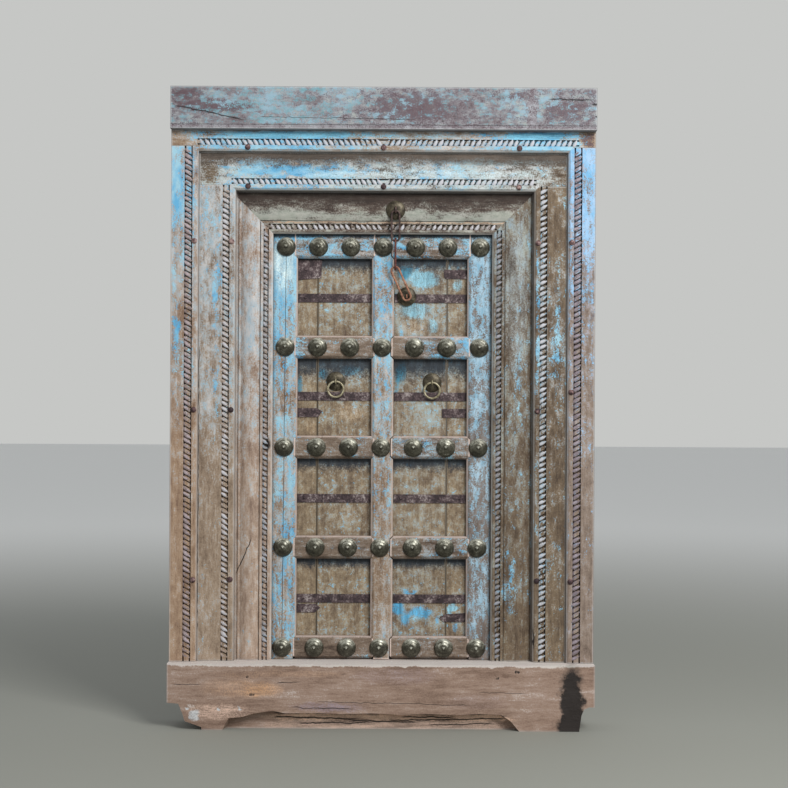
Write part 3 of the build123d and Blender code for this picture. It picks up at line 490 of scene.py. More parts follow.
dress("sill", timber(
    "sill", "x", FRONT, SILL_WOOD, seed=7.7, arris=0.3, reach=0.17, sunk_depth=0.3,
    stretch=0.25, corner_shade=0.1, joints=0.0,
    wash=(0.02,), wash_spots=((0, 0.206, 1.6, 0.009, 1.3), (-0.587, 0.074, 0.012, 0.012, 0.6)),
    washes=(tone(230, 226, 218), tone(222, 212, 208)), blue=(0.0,),
    tints=(
        (tone(184, 144, 110), ((-0.45, 0.13, 0.14, 0.04, 0.4), (-0.36, 0.125, 0.08, 0.03, 0.3),
                               (-0.30, 0.175, 0.3, 0.016, 0.3))),
        (VIOLET, ((-0.16, 0.072, 0.14, 0.022, 0.5), (0.05, 0.17, 0.2, 0.04, 0.3),
                  (0.30, 0.09, 0.14, 0.04, 0.25))),
        (tone(206, 176, 158), ((-0.50, 0.058, 0.12, 0.03, 0.7),)),
        (CHALK, ((-0.575, 0.045, 0.018, 0.020, 0.9), (-0.507, 0.066, 0.006, 0.007, 1.0),
                 (-0.435, 0.068, 0.006, 0.012, 0.8), (-0.6, 0.065, 0.006, 0.005, 1.0))),
        # Painted light: the splintered toe is painted paler, most in its upper row, to lift the
        # shadow that the ledge above casts on it
        (tone(184, 158, 142), toe_row(0.010, 0.024)),
        (tone(222, 184, 160), toe_row(0.036, 0.014)),
    ),
    dark_spots=(
        (0.592, 0.105, 0.036, 0.095, 2.2), (0.596, 0.02, 0.045, 0.05, 2.0),
        (-0.402, 0.112, 0.006, 0.006, 0.9),
        (-0.418, 0.164, 0.005, 0.005, 1.0), (0.425, 0.184, 0.005, 0.005, 1.0),
        (0.358, 0.166, 0.005, 0.005, 1.0),
    ),
    cracks=(((-0.28, 0.071), (-0.08, 0.067), 0.0011), ((-0.20, 0.090), (0.28, 0.080), 0.0007),
            ((-0.34, 0.049), (0.10, 0.047), 0.0016), ((0.02, 0.048), (0.40, 0.047), 0.0014),
            ((-0.33, 0.148), (-0.24, 0.150), 0.0009), ((0.30, 0.122), (0.46, 0.117), 0.0006),
            ((-0.34, 0.036), (-0.06, 0.031), 0.0022), ((0.02, 0.026), (0.40, 0.034), 0.0018),
            ((-0.26, 0.016), (-0.02, 0.020), 0.0016), ((-0.10, 0.026), (0.12, 0.020), 0.0020),
            ((0.14, 0.012), (0.36, 0.018), 0.0014), ((0.06, 0.038), (0.24, 0.036), 0.0018),
            ((-0.655, 0.142), (-0.55, 0.140), 0.0008), ((-0.13, 0.172), (-0.10, 0.176), 0.0016)),
))
print("beam and sill dressed")

# %% [markdown]
# ## Jambs and heads
# The outer frame keeps the most blue, the middle one less, and the inner one is nearly bare. On
# nearly every upright the paint thins out downwards, where it was touched and splashed most.
# That is why each coverage is a list of heights from one end of a timber to the other, read
# from the bottom up on a jamb and from left to right on a head.

# %% Dress the outer frame
outer_y, middle_y, inner_y = FRONT + 0.045, FRONT + 0.062, FRONT + 0.080
MIDDLE_TOP = 1.8025
dress("outer_head", timber(
    "outer_head", "x", outer_y, TAN, seed=1.3,
    wash=(0.3, 0.6, 0.6, 0.55, 0.5, 0.45, 0.5, 0.6, 0.7, 0.6, 0.2),
    blue=(0.15, 0.55, 0.72, 0.7, 0.45, 0.2, 0.22, 0.25, 0.62, 0.8, 0.1),
    primer_spots=((0.64, 1.845, 0.035, 0.03, 0.8), (-0.65, 1.86, 0.02, 0.01, 0.5)),
    blue_spots=((0, 1.805, 1.6, 0.005, -0.4), (-0.64, 1.84, 0.04, 0.03, -0.3),
                (-0.26, 1.855, 0.25, 0.012, 0.3), (0.5, 1.852, 0.13, 0.014, 0.3)),
    # A paler blue along the strip under the beam: partly the paint, partly painted light that lifts
    # the beam's shadow there
    tints=((tone(120, 190, 222), ((-0.30, 1.852, 0.3, 0.012, 0.7), (0.1, 1.852, 0.2, 0.010, 0.4),
                                  (0.47, 1.850, 0.14, 0.014, 0.8))),),
    # Painted shadow: a dark line along the top, under the head beam's overhang
    dark_spots=((0, 1.870, 1.6, 0.006, 0.6),),
))
dress("outer_jamb_left", timber(
    "outer_jamb_left", "z", outer_y, WARM, seed=2.2,
    wash=(0.05, 0.08, 0.1, 0.15, 0.2, 0.4, 0.45, 0.45, 0.5, 0.6, 0.7),
    blue=(0.0, 0.0, 0.0, 0.0, 0.05, 0.25, 0.35, 0.2, 0.4, 0.5, 0.5),
    blue_spots=((-0.645, 1.24, 0.018, 0.09, 0.4), (-0.645, 1.68, 0.02, 0.10, 0.4),
                (-0.585, 1.0, 0.009, 1.0, -0.3)),
))
dress("outer_jamb_right", timber(
    "outer_jamb_right", "z", outer_y, GREYED, seed=4.4,
    wash=(0.02, 0.04, 0.06, 0.08, 0.12, 0.18, 0.28, 0.4, 0.5, 0.65, 0.75),
    washes=(tone(192, 192, 212), CHALK_BLUE),
    blue=(0.0, 0.0, 0.05, 0.05, 0.1, 0.15, 0.2, 0.35, 0.45, 0.6, 0.7),
    primer=(0.0, 0.0, 0.0, 0.05, 0.1, 0.1, 0.15, 0.3, 0.32, 0.35, 0.3),
    blues=(tone(104, 178, 222), tone(164, 200, 234)),
))
dress("middle_head", timber(
    "middle_head", "x", middle_y, OLIVE, seed=5.9,
    wash=(0.4, 0.7, 0.8, 0.75, 0.75, 0.7, 0.75, 0.8, 0.7, 0.6, 0.3),
    washes=(tone(218, 224, 226), tone(198, 218, 222)),
    blue=(0.0, 0.4, 0.62, 0.5, 0.3, 0.2, 0.35, 0.4, 0.25, 0.2, 0.15),
    blue_spots=((-0.25, 1.745, 0.2, 0.02, 0.3), (0.0, 1.735, 0.3, 0.02, 0.2)),
    wash_spots=((-0.54, 1.74, 0.03, 0.05, -0.2),), arris=0.8,
    # Painted shadow under the outer head: a dark band down from the middle head's top, black at its
    # edge
    shade_bands=((tone(86, 76, 68), MIDDLE_TOP, 0.058, 1.0), (SOOT_AND_SHADE, MIDDLE_TOP, 0.007, 1.0)),
    tints=((tone(196, 212, 216), ((0.1, 1.735, 0.5, 0.018, 0.5),)),
           (tone(104, 132, 140), ((0.35, 1.780, 0.3, 0.020, 0.6),)),
           (GOLD, ((-0.28, 1.762, 0.02, 0.008, 0.6),))),
))
dress("middle_jamb_left", timber(
    "middle_jamb_left", "z", middle_y, SOFT_TAN, seed=6.1,
    wash=(0.05, 0.08, 0.1, 0.15, 0.25, 0.4, 0.45, 0.55, 0.6, 0.65, 0.7),
    blue=(0.0, 0.0, 0.0, 0.0, 0.0, 0.1, 0.12, 0.2, 0.25, 0.3, 0.3),
    blue_spots=((-0.523, 1.35, 0.014, 0.18, 0.35), (-0.523, 1.05, 0.012, 0.12, 0.25)),
    cracks=(((-0.5775, 0.3), (-0.5755, 1.2), 0.0008),),
))
dress("middle_jamb_right", timber(
    "middle_jamb_right", "z", middle_y, OLIVE, seed=8.3,
    wash=(0.0, 0.05, 0.1, 0.15, 0.2, 0.25, 0.25, 0.3, 0.25, 0.2, 0.15),
    blue=(0.0, 0.0, 0.1, 0.1, 0.1, 0.15, 0.2, 0.2, 0.15, 0.0, 0.0),
    blue_spots=((0.486, 1.3, 0.008, 0.35, 0.3), (0.545, 1.2, 0.02, 0.2, 0.2)),
    dark_spots=((0.4775, 0.278, 0.003, 0.040, 1.2),),
))
print("outer and middle frame dressed")

# %% Dress the inner frame
INNER_TOP = 1.6825
# Painted shadow under the middle head, down from the top of each inner jamb
jamb_top_shade = ((tone(80, 64, 56), INNER_TOP, 0.040, 0.95),)
dress("inner_head", timber(
    "inner_head", "x", inner_y, BROWN, seed=9.2, sunk_depth=0.02,
    wash=(0.35, 0.4, 0.42, 0.4, 0.35, 0.35, 0.5, 0.45, 0.4, 0.35),
    washes=(tone(188, 190, 182), CHALK_GREEN), blue=(0.0,),
    wash_spots=((-0.33, 1.612, 0.12, 0.018, 0.5), (0.0, 1.600, 1.0, 0.020, 0.35),
                (0.10, 1.612, 0.03, 0.02, 0.5), (0.36, 1.605, 0.05, 0.02, 0.45)),
    # Painted shadow under the middle head: a dark band down from the inner head's top, black at its
    # edge
    shade_bands=((tone(56, 44, 38), INNER_TOP, 0.082, 1.0), (SOOT_AND_SHADE, INNER_TOP, 0.012, 0.9)),
    # Painted highlight: a pale line along the top of the bead, where the light from above catches
    # it
    tints=((tone(166, 142, 120), ((0, 1.584, 1.6, 0.003, 0.7),)),),
))
dress("inner_jamb_left", timber(
    "inner_jamb_left", "z", inner_y, PALE_WARM, seed=10.4, sunk_depth=0.02,
    shade_bands=jamb_top_shade,
    wash=(0.1, 0.12, 0.2, 0.2, 0.25, 0.4, 0.5, 0.6, 0.6, 0.5, 0.5),
    blue=(0.0, 0.0, 0.0, 0.0, 0.0, 0.0, 0.05, 0.05, 0.0, 0.0, 0.0),
    blue_spots=((-0.42, 1.25, 0.014, 0.06, 0.25), (-0.352, 1.2, 0.005, 0.4, 0.3)),
    wash_spots=((-0.418, 1.25, 0.018, 0.08, 0.5),),
    dark_spots=((-0.364, 0.880, 0.014, 0.024, 1.2),),
    cracks=(((-0.407, 0.595), (-0.462, 0.466), 0.0014),),
))
dress("inner_jamb_right", timber(
    "inner_jamb_right", "z", inner_y, OLIVE, seed=11.5, sunk_depth=0.02,
    shade_bands=jamb_top_shade,
    tints=((tone(150, 158, 160), ((0.42, 1.35, 0.05, 0.35, 0.45),)),),
    wash=(0.1, 0.2, 0.25, 0.25, 0.3, 0.35, 0.35, 0.4, 0.45, 0.5, 0.4),
    washes=(CHALK_GREEN, tone(142, 172, 190)),
    blue=(0.0, 0.1, 0.15, 0.15, 0.1, 0.15, 0.2, 0.15, 0.1, 0.0, 0.0),
    blue_spots=((0.40, 0.45, 0.03, 0.12, 0.35), (0.43, 1.2, 0.012, 0.3, 0.2)),
))
print("inner frame dressed")

# %% [markdown]
# ## The leaves
# Stiles and post keep vertical streaks of blue from their upper half down. The rails are worn
# nearly bare, with most of their blue left on the top pair, and the boards are grey-green,
# painted dark under each rail as the shadow the rail casts, over a deeper blue paint. The stiles,
# post and top rails are painted dark under the inner head as its shadow. One call for each timber
# would repeat itself seventeen times, so what differs stands in three tables and a loop does the
# rest.

# %% Dress the stiles and the post
leaf_y, board_y = FRONT + 0.105, FRONT + 0.128
# Painted shadow under the inner head, on the tops of the stiles, the post and the top rails
SHADE_UNDER_HEAD = ((DEEP_BLUE_SHADE, 1.549, 0.016, 0.9),)
# Wash, blue and seed of each upright
uprights = {
    "hanging_stile_left": ((0.3, 0.45, 0.5, 0.5, 0.5, 0.5, 0.5, 0.7, 0.7),
                           (0.35, 0.45, 0.5, 0.4, 0.35, 0.45, 0.5, 0.8, 0.9), 12.1),
    "hanging_stile_right": ((0.1, 0.2, 0.25, 0.3, 0.3, 0.35, 0.4, 0.45, 0.5),
                            (0.3, 0.45, 0.45, 0.4, 0.45, 0.55, 0.6, 0.6, 0.6), 13.3),
    "centre_post": ((0.35, 0.4, 0.4, 0.4, 0.5, 0.5, 0.6, 0.6, 0.5),
                    (0.1, 0.15, 0.25, 0.4, 0.35, 0.4, 0.5, 0.55, 0.5), 14.7),
}
for node, (wash, blue, seed) in uprights.items():
    scored = ((((-0.3065, 1.545), (-0.3145, 0.215), 0.0008, 0.004),)
              if node == "hanging_stile_left" else ())
    right = node == "hanging_stile_right"
    washes = (tone(150, 170, 180), tone(122, 160, 182)) if right else (CHALK, CHALK_BLUE)
    blues = (tone(126, 174, 200), tone(176, 206, 224)) if right else (SKY_BLUE, SKY_PALE)
    wood = DULL if right else TAN
    dress(node, timber(node, "z", leaf_y, wood, wash=wash, blue=blue, seed=seed, grime=0.8,
                       washes=washes, blues=blues, edge=EDGE_PINK, arris=1.0, joints=0.3,
                       tints=((tone(200, 232, 244), ((-0.315, 1.46, 0.05, 0.12, 0.6),)),),
                       shade_bands=SHADE_UNDER_HEAD, cracks=scored))
print("uprights dressed:", ", ".join(uprights))

# %% Dress the rails
# How much blue each rail keeps, from its left to its right end
rail_paint = {
    "rail_left_1": (0.0, 0.1, 0.0, 0.1, 0.0), "rail_right_1": (0.0, 0.1, 0.2, 0.1, 0.0),
    "rail_left_2": (0.1, 0.15, 0.1, 0.2, 0.1), "rail_right_2": (0.1, 0.1, 0.35, 0.35, 0.15),
    "rail_left_3": (0.1, 0.1, 0.1, 0.15, 0.2), "rail_right_3": (0.1, 0.4, 0.4, 0.3, 0.2),
    "rail_left_4": (0.5, 0.1, 0.0, 0.1, 0.2), "rail_right_4": (0.0, 0.2, 0.4, 0.4, 0.6),
    "rail_left_5": (0.4, 0.5, 0.45, 0.4, 0.4), "rail_right_5": (0.5, 0.35, 0.35, 0.4, 0.45),
}
for i, (node, blue) in enumerate(rail_paint.items()):
    wash = tuple(value + 0.05 for value in blue)
    top_rail = node.endswith("_5")
    dress(node, timber(node, "x", leaf_y, RAIL, wash=wash, blue=blue, seed=20.0 + i * 1.7,
                       grime=0.8, arris=1.0, edge=EDGE_PINK, highlight_lower_edge=False, joints=0.15,
                       shade_bands=SHADE_UNDER_HEAD if top_rail else ()))
print("rails dressed:", len(rail_paint))

# %% Dress the boards
# Wash, blue and seed of each board
boards = {
    "narrow_board_left": ((0.2, 0.1, 0.2, 0.15, 0.2, 0.25, 0.2), (0.0,), 41.0),
    "wide_board_left": ((0.3, 0.2, 0.3, 0.25, 0.3, 0.35, 0.3), (0.12,), 42.6),
    "wide_board_right": ((0.4, 0.35, 0.3, 0.35, 0.4, 0.4, 0.5), (0.3, 0.1, 0.1, 0.2, 0.25), 43.9),
    "narrow_board_right": ((0.3, 0.2, 0.2, 0.3, 0.3, 0.3, 0.4), (0.2, 0.05, 0.05, 0.1, 0.2), 45.2),
}
# Painted shadow under rails 2 to 5, partly over a deeper blue paint, and how far down it reaches
rail_shadow_reach = {2: 0.040, 3: 0.045, 4: 0.085, 5: 0.050}
rail_shadows = [(DEEP_BLUE_SHADE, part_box(f"rail_left_{number}")[0][2], down, 0.9)
               for number, down in rail_shadow_reach.items()]
board_tints = (
    (TEAL, ((0.07, 1.43, 0.03, 0.03, 0.9), (-0.264, 1.07, 0.012, 0.05, 0.7),
            (-0.19, 1.11, 0.025, 0.022, 0.6), (0.06, 1.12, 0.02, 0.05, 0.7),
            (0.045, 1.07, 0.01, 0.07, 0.5), (-0.10, 1.12, 0.05, 0.02, 0.5))),
    (tone(140, 190, 208), ((0.13, 1.41, 0.06, 0.03, 0.9), (0.10, 1.31, 0.06, 0.035, 0.7),
                           (0.235, 1.39, 0.02, 0.03, 0.6), (0.226, 0.364, 0.024, 0.016, 0.9),
                           (0.10, 0.34, 0.07, 0.03, 0.5), (0.16, 1.26, 0.02, 0.02, 0.6))),
    (SKY_BLUE, ((0.05, 0.365, 0.03, 0.022, 0.8), (0.12, 0.352, 0.05, 0.026, 0.75),
                (0.075, 0.325, 0.02, 0.03, 0.6), (0.175, 0.33, 0.01, 0.015, 0.5),
                (0.09, 0.418, 0.03, 0.012, 0.6), (0.235, 0.30, 0.012, 0.02, 0.5))),
    (GOLD, ((-0.10, 0.985, 0.07, 0.04, 0.35), (-0.225, 0.94, 0.03, 0.03, 0.3),
            (0.10, 1.255, 0.06, 0.03, 0.35), (-0.12, 0.66, 0.07, 0.04, 0.25))),
)
for node, (wash, blue, seed) in boards.items():
    dress(node, timber(node, "z", board_y, BOARD, wash=wash, blue=blue, seed=seed, grime=0.8,
                       arris=0.9, edge=SOOT_AND_SHADE, stretch=0.9, tints=board_tints, shade_bands=rail_shadows,
                       washes=(CHALK_GREEN, CHALK_BLUE)))
print("boards dressed:", len(boards), "under-rail bands:", len(rail_shadows))

# %% [markdown]
# ## Carved rope strands
# Each timber's edge carries a carved rope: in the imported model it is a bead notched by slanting
# cuts. On the real door the carver rounded every strand between two cuts into a little pillow
# that swells in the middle and curls at its ends, with a dark pit beside it. Some hundreds of
# them repeat, so Geometry Nodes lay them out: one sphere of a few dozen faces is bent into a
# strand, copied along a line, varied a little, made real and given its finish. Modelling each
# strand by hand would give the same shape with far more work, and an array modifier couldn't
# vary them.

# %% A geometry tree with named inputs
class Recipe(Tree):
    """A geometry node tree under construction, with named inputs."""

    def __init__(self, name, inputs):
        super().__init__(bpy.data.node_groups.new(name, "GeometryNodeTree"))
        made = self.tree.interface.new_socket
        made("Geometry", in_out="OUTPUT", socket_type="NodeSocketGeometry")
        self.keys = {}
        for label, kind in inputs.items():
            socket = made(label, in_out="INPUT", socket_type=kind)
            self.keys[label] = socket.identifier
        self.start = self.tree.nodes.new("NodeGroupInput")

    def given(self, label):
        """The field of one of the named inputs."""
        return Field(self, self.start.outputs[label])


def grown(recipe, name, values):
    """Runs a recipe on an empty mesh and gives back the plain mesh it makes."""
    seed_mesh = bpy.data.meshes.new(name)
    piece = bpy.data.objects.new(name, seed_mesh)
    bpy.context.scene.collection.objects.link(piece)
    modifier = piece.modifiers.new("recipe", "NODES")
    modifier.node_group = recipe.tree
    for label, value in values.items():
        modifier[recipe.keys[label]] = value
    ready = piece.evaluated_get(bpy.context.evaluated_depsgraph_get())
    mesh = bpy.data.meshes.new_from_object(ready)
    bpy.data.objects.remove(piece)
    return mesh


# %% Bend a sphere into a strand, and lay strands in a row
def strand_recipe():
    """Strands along +X, their pit side towards +Y, rising towards +Z."""
    number, decimal = "NodeSocketInt", "NodeSocketFloat"
    r = Recipe("rope strands", {
        "Count": number, "Pitch": decimal, "Half width": decimal, "Rise": decimal,
        "Slope": decimal, "Seed": number, "Finish": "NodeSocketMaterial",
    })
    pitch, half, seed = r.given("Pitch"), r.given("Half width"), r.given("Seed")
    ball = r.node("GeometryNodeMeshUVSphere", {}, {"Segments": 10, "Rings": 6, "Radius": 1.0})
    x, y, z = r.parts(r.node("GeometryNodeInputPosition", {}, {}))
    # The strand narrows towards its pit, and curls at both ends
    narrow = r.node("ShaderNodeMapRange", {"interpolation_type": "SMOOTHSTEP"}, {
        "Value": y, "From Min": -0.3, "From Max": 1.0, "To Min": 1.0, "To Max": 0.4,
    })
    swell = pitch * 0.53 * narrow
    curl = y * 0.75 + y * (y * y) * 0.35
    # Its section is fuller than a ball's, so that it fills the bead between two cuts
    plump = z.maths("SIGN", z) * z.maths("POWER", z.size(), 0.5)
    bent = r.node("ShaderNodeCombineXYZ", {}, {
        "X": x * swell + curl * half * r.given("Slope"),
        "Y": y * half,
        "Z": plump * r.given("Rise"),
    })
    strand = r.node("GeometryNodeSetPosition", {}, {"Geometry": ball, "Position": bent})
    step = r.node("ShaderNodeCombineXYZ", {}, {"X": pitch})
    row = r.node("GeometryNodeMeshLine", {"mode": "OFFSET"},
                 {"Count": r.given("Count"), "Offset": step})
    # No two strands were cut alike: each has its own size, and sits a little askew
    by_three = {"data_type": "FLOAT_VECTOR"}
    vary = r.node("FunctionNodeRandomValue", by_three,
                  {"Min": (0.78, 0.86, 0.7), "Max": (1.08, 1.02, 1.06), "Seed": seed})
    twist = r.node("FunctionNodeRandomValue", by_three,
                   {"Min": (-0.12, -0.07, -0.12), "Max": (0.12, 0.07, 0.12), "Seed": seed})
    laid = r.node("GeometryNodeInstanceOnPoints", {},
                  {"Points": row, "Instance": strand, "Scale": vary, "Rotation": twist})
    real = r.node("GeometryNodeRealizeInstances", {}, {"Geometry": laid})
    smooth = r.node("GeometryNodeSetShadeSmooth", {}, {"Geometry": real})
    finished = r.node("GeometryNodeSetMaterial", {},
                      {"Geometry": smooth, "Material": r.given("Finish")})
    r.node("NodeGroupOutput", {}, {"Geometry": finished})
    return r


STRANDS = strand_recipe()
print("strand recipe has", len(STRANDS.tree.nodes), "nodes")

# %% [markdown]
# ## The finish of the strands
# A carved strand wears pale on its crest, which is also painted pale as its highlight, and its
# valleys are painted dark as the shade in them, with some grime, so its colour follows its
# depth below the timber's face: chalk-white on top, then paint or bare wood, then nearly black.
# The painted shade is thickest on the side of the pits. A rubbed edge could also be found from the
# shape's curvature, but depth is steadier on pieces as small as these.

# %% The strand finish
STRAND_DEPTH = 0.0075


def strand_finish(name, face, middle, half, crest, flank, blue=0.3, dark=0.0):
    """Strands worn pale on top and dark on their pit side, away from middle, a value of x or z.

    half is half a strand's reach, crest the tone of its worn top, which is also its painted
    highlight, and flank that of the wood below it, blue how much paint is left and dark how much
    darker they are painted, as shade with some grime.
    """
    f = Finish(name)
    fine = f.noise(f.place, 420.0, 3.0, 0.65) - 0.5
    patch = f.noise(f.place, 60.0, 5.0, 0.65, "Color")
    split = f.node("ShaderNodeSeparateColor", {}, {0: patch})
    depth = (f.y - face) / STRAND_DEPTH + fine * 1.6 + (split.also("Green") - 0.5) * 1.2 + dark
    painted = (split.also("Red") - 0.5 + blue + fine * 0.8).rise(0.3, 0.55)
    body = f.mix(painted, flank, f.mix(split.also("Blue").held(), SKY_BLUE, SKY_PALE))
    # Painted highlight as well as wear: the crests, nearest the face, are pale
    colour = f.mix(depth.rise(0.3, -0.1), body, crest)
    # Painted shade with some grime: deeper parts go nearly black, most on the side of the pits
    across = (f.z if name.endswith("head") else f.x) - middle
    pit_side = (across / half).rise(-0.2, 0.8)
    colour = f.mix(depth.rise(0.45, 1.0) * (pit_side * 0.65 + 0.3), colour, PRIMER_DARK_AND_SHADE)
    return f.close(colour, 0.8, fine, 0.5, 0.001)


# %% [markdown]
# ## Where the ropes run
# Every frame has four runs of rope: one up each jamb, and two along the head that meet in its
# middle, where the strands turn the other way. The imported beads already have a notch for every
# strand, so the strands are placed from the same pitch, slope and widths, and each swells out of
# the solid between two notches. A curve for every rope would do as well, but all runs are
# straight, so two points say enough.

# %% Lay one run of rope
PITCH = 0.0168
SLOPE = math.tan(math.radians(30))
# The sunk strip beside the bead, the width of a notch, and how deep a strand's middle lies
QUIRK, NOTCH, BED = 0.0016, 0.0066, 0.0068
# Strands stand this proud of the face, run on under the channel's sides, and lie off its middle
PROUD, OVERLAP, SHIFT = 0.0008, 0.0050, 0.0012


def edges(node):
    """The left, right, lower and upper edge of a node, seen from the front."""
    low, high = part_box(node)
    return low[0], high[0], low[2], high[2]


def rope(name, start, end, width, face, slope, material, seed):
    """A row of strands between two points (x, z) of the front view, as one mesh."""
    begin, finish = Vector((start[0], 0, start[1])), Vector((end[0], 0, end[1]))
    length = (finish - begin).length
    along = (finish - begin).normalized()
    upright = abs(along.z) > 0.5
    pit = Vector((1, 0, 0)) if upright else Vector((0, 0, 1))
    grooves = int((length - (width - QUIRK) * SLOPE - NOTCH) / PITCH)
    count = grooves + 1
    first = begin + along * ((length - (count - 1) * PITCH) / 2)
    first -= pit * SHIFT
    first.y = face + BED
    turn = Matrix((along, pit, Vector((0, -1, 0)))).transposed().to_4x4()
    mesh = grown(STRANDS, name, {
        "Count": count, "Pitch": PITCH, "Half width": width / 2 + OVERLAP,
        "Rise": BED + PROUD, "Slope": slope, "Seed": seed, "Finish": material,
    })
    mesh.transform(Matrix.Translation(first) @ turn)
    if turn.determinant() < 0:
        mesh.flip_normals()
    return mesh, count


def joined(name, meshes, body):
    """One piece from several meshes, riding on a body."""
    bpy.ops.object.select_all(action="DESELECT")
    pieces = []
    for i, mesh in enumerate(meshes):
        piece = bpy.data.objects.new(f"{name}_{i}", mesh)
        bpy.context.scene.collection.objects.link(piece)
        piece.select_set(True)
        pieces.append(piece)
    bpy.context.view_layer.objects.active = pieces[0]
    bpy.ops.object.join()
    pieces[0].name = name
    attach(pieces[0], body)
    return pieces[0]


# %% Lay the ropes of the three frames
middle_x = (edges("inner_jamb_left")[1] + edges("inner_jamb_right")[0]) / 2
# The plain band inside a rope, the rope's width on jambs and on the head, how far the head's
# rope runs on past the jambs' inner edges, how far the jambs' ropes run up past the head's lower
# edge, and the face that they lie in
frames = {
    "outer": (0.019, 0.025, 0.020, (0.004, 0.034), 0.016, outer_y),
    "middle": (0.019, 0.022, 0.018, (0.014, 0.006), 0.016, middle_y),
    "inner": (0.013, 0.017, 0.017, (0.013, 0.013), 0.013, FRONT + 0.082),
}
WHITE_CREST = tone(194, 194, 200)
PINK_CREST = tone(180, 166, 170)
GREY_CREST = tone(174, 174, 182)
# Crest, flank, paint left and painted shade with grime of the left, the head's and the right rope
wear_and_shade = {
    "outer": (
        (PINK_CREST, tone(134, 118, 116), 0.12, 0.1),
        (WHITE_CREST, tone(158, 172, 186), 0.32, -0.05),
        (tone(160, 150, 158), tone(120, 108, 114), 0.2, 0.15),
    ),
    "middle": (
        (WHITE_CREST, tone(158, 140, 126), 0.1, 0.0),
        (WHITE_CREST, tone(164, 170, 172), 0.3, -0.2),
        (WHITE_CREST, tone(144, 146, 146), 0.3, 0.0),
    ),
    "inner": (
        (GREY_CREST, tone(120, 110, 104), 0.25, 0.1),
        (WHITE_CREST, tone(136, 124, 116), 0.15, 0.0),
        (tone(156, 156, 164), tone(116, 112, 112), 0.25, 0.1),
    ),
}
FIRST_SEED = 7
for frame_name, (band, width, head_width, ends, rise, face) in frames.items():
    left, right = edges(f"{frame_name}_jamb_left"), edges(f"{frame_name}_jamb_right")
    head = edges(f"{frame_name}_head")
    top = head[2] + rise
    left_x, right_x = left[1] - band - width / 2, right[0] + band + width / 2
    head_z = head[2] + band + head_width / 2
    runs = (("left", left_x, width), ("head", head_z, head_width), ("right", right_x, width))
    worn = [strand_finish(f"{frame_name}_rope_{part}", face, centre, across / 2 + OVERLAP, *paint)
            for (part, centre, across), paint in zip(runs, wear_and_shade[frame_name])]
    # Strands lean one way on the left half of the door and the other way on the right half
    rows = (
        ((left_x, left[2]), (left_x, top), width, -SLOPE, worn[0]),
        ((right_x, right[2]), (right_x, top), width, SLOPE, worn[2]),
        ((left[1] - ends[0], head_z), (middle_x, head_z), head_width, -SLOPE, worn[1]),
        ((middle_x, head_z), (right[0] + ends[1], head_z), head_width, SLOPE, worn[1]),
    )
    made = [
        rope(f"{frame_name}_rope", start, end, wide, face, slope, material, FIRST_SEED + i)
        for i, (start, end, wide, slope, material) in enumerate(rows)
    ]
    piece = joined(f"{frame_name}_rope", [mesh for mesh, _ in made], "door_frame")
    print(piece.name, sum(count for _, count in made), "strands", len(piece.data.polygons), "faces")

# %% [markdown]
# ## Metals
# The bosses have gone dark bronze, rubbed bright near the tip, which also stands in as a painted
# highlight there, and painted paler on top, partly dust and partly a highlight from above. The
# chain is bare iron with a fine even rust, from nearly black at the lintel to a pale rust at its
# end. The straps and their nails are dark, with a purple-brown scale rubbed pale in spots. A
# picture of rust would have to be unwrapped onto every link. A noise through a ramp of three tones
# needs only a place, and gives each metal its own mottling from a few numbers.

# %% Metal finishes
def patina(name, dark, mid, rubbed, metallic, rough, scale=160.0, relief=0.5, rub_and_highlight=None, dust_and_sheen=0.0):
    """Old metal: a mottled skin from a dark through a middle to a rubbed tone.

    rough is its roughness and scale that of the mottling, relief how strong it is.
    rub_and_highlight is a pair of depths (y) between which it is rubbed paler and given a painted
    highlight, and dust_and_sheen how much paler its upward faces are, partly dust and partly a
    painted highlight from above.
    """
    f = Finish(name)
    coarse = f.noise(f.place, scale * 0.4, 4.0, 0.62) - 0.5
    fine = f.noise(f.place, scale * 2.4, 3.0, 0.65) - 0.5
    mottle = coarse * relief * 3.0 + fine * relief * 2.4 + 0.42
    # Paler towards the tip: rubbed there, and a painted highlight
    if rub_and_highlight:
        mottle = mottle + f.y.rise(rub_and_highlight[0], rub_and_highlight[1]) * 0.3
    # Upward faces are paler: partly dust, partly a painted highlight from the light above
    if dust_and_sheen:
        facing = f.node("ShaderNodeNewGeometry", {}, {}, "Normal")
        up = f.node("ShaderNodeSeparateXYZ", {}, {0: facing}, "Z")
        mottle = mottle + up.rise(0.0, 0.8) * dust_and_sheen
    colour = f.ramp(mottle.held(), [(0.15, dark), (0.55, mid), (0.95, rubbed)])
    hollow = f.node("ShaderNodeAmbientOcclusion", {"samples": 4}, {"Distance": 0.012}, "AO")
    colour = f.mix((1 - hollow).rise(0.25, 0.9) * 0.8, colour, SOOT_AND_SHADE)
    roughness = (fine * 0.6 + rough).held()
    return f.close(colour, roughness, coarse * 0.6 + fine * 0.6, relief, 0.0008, metallic)


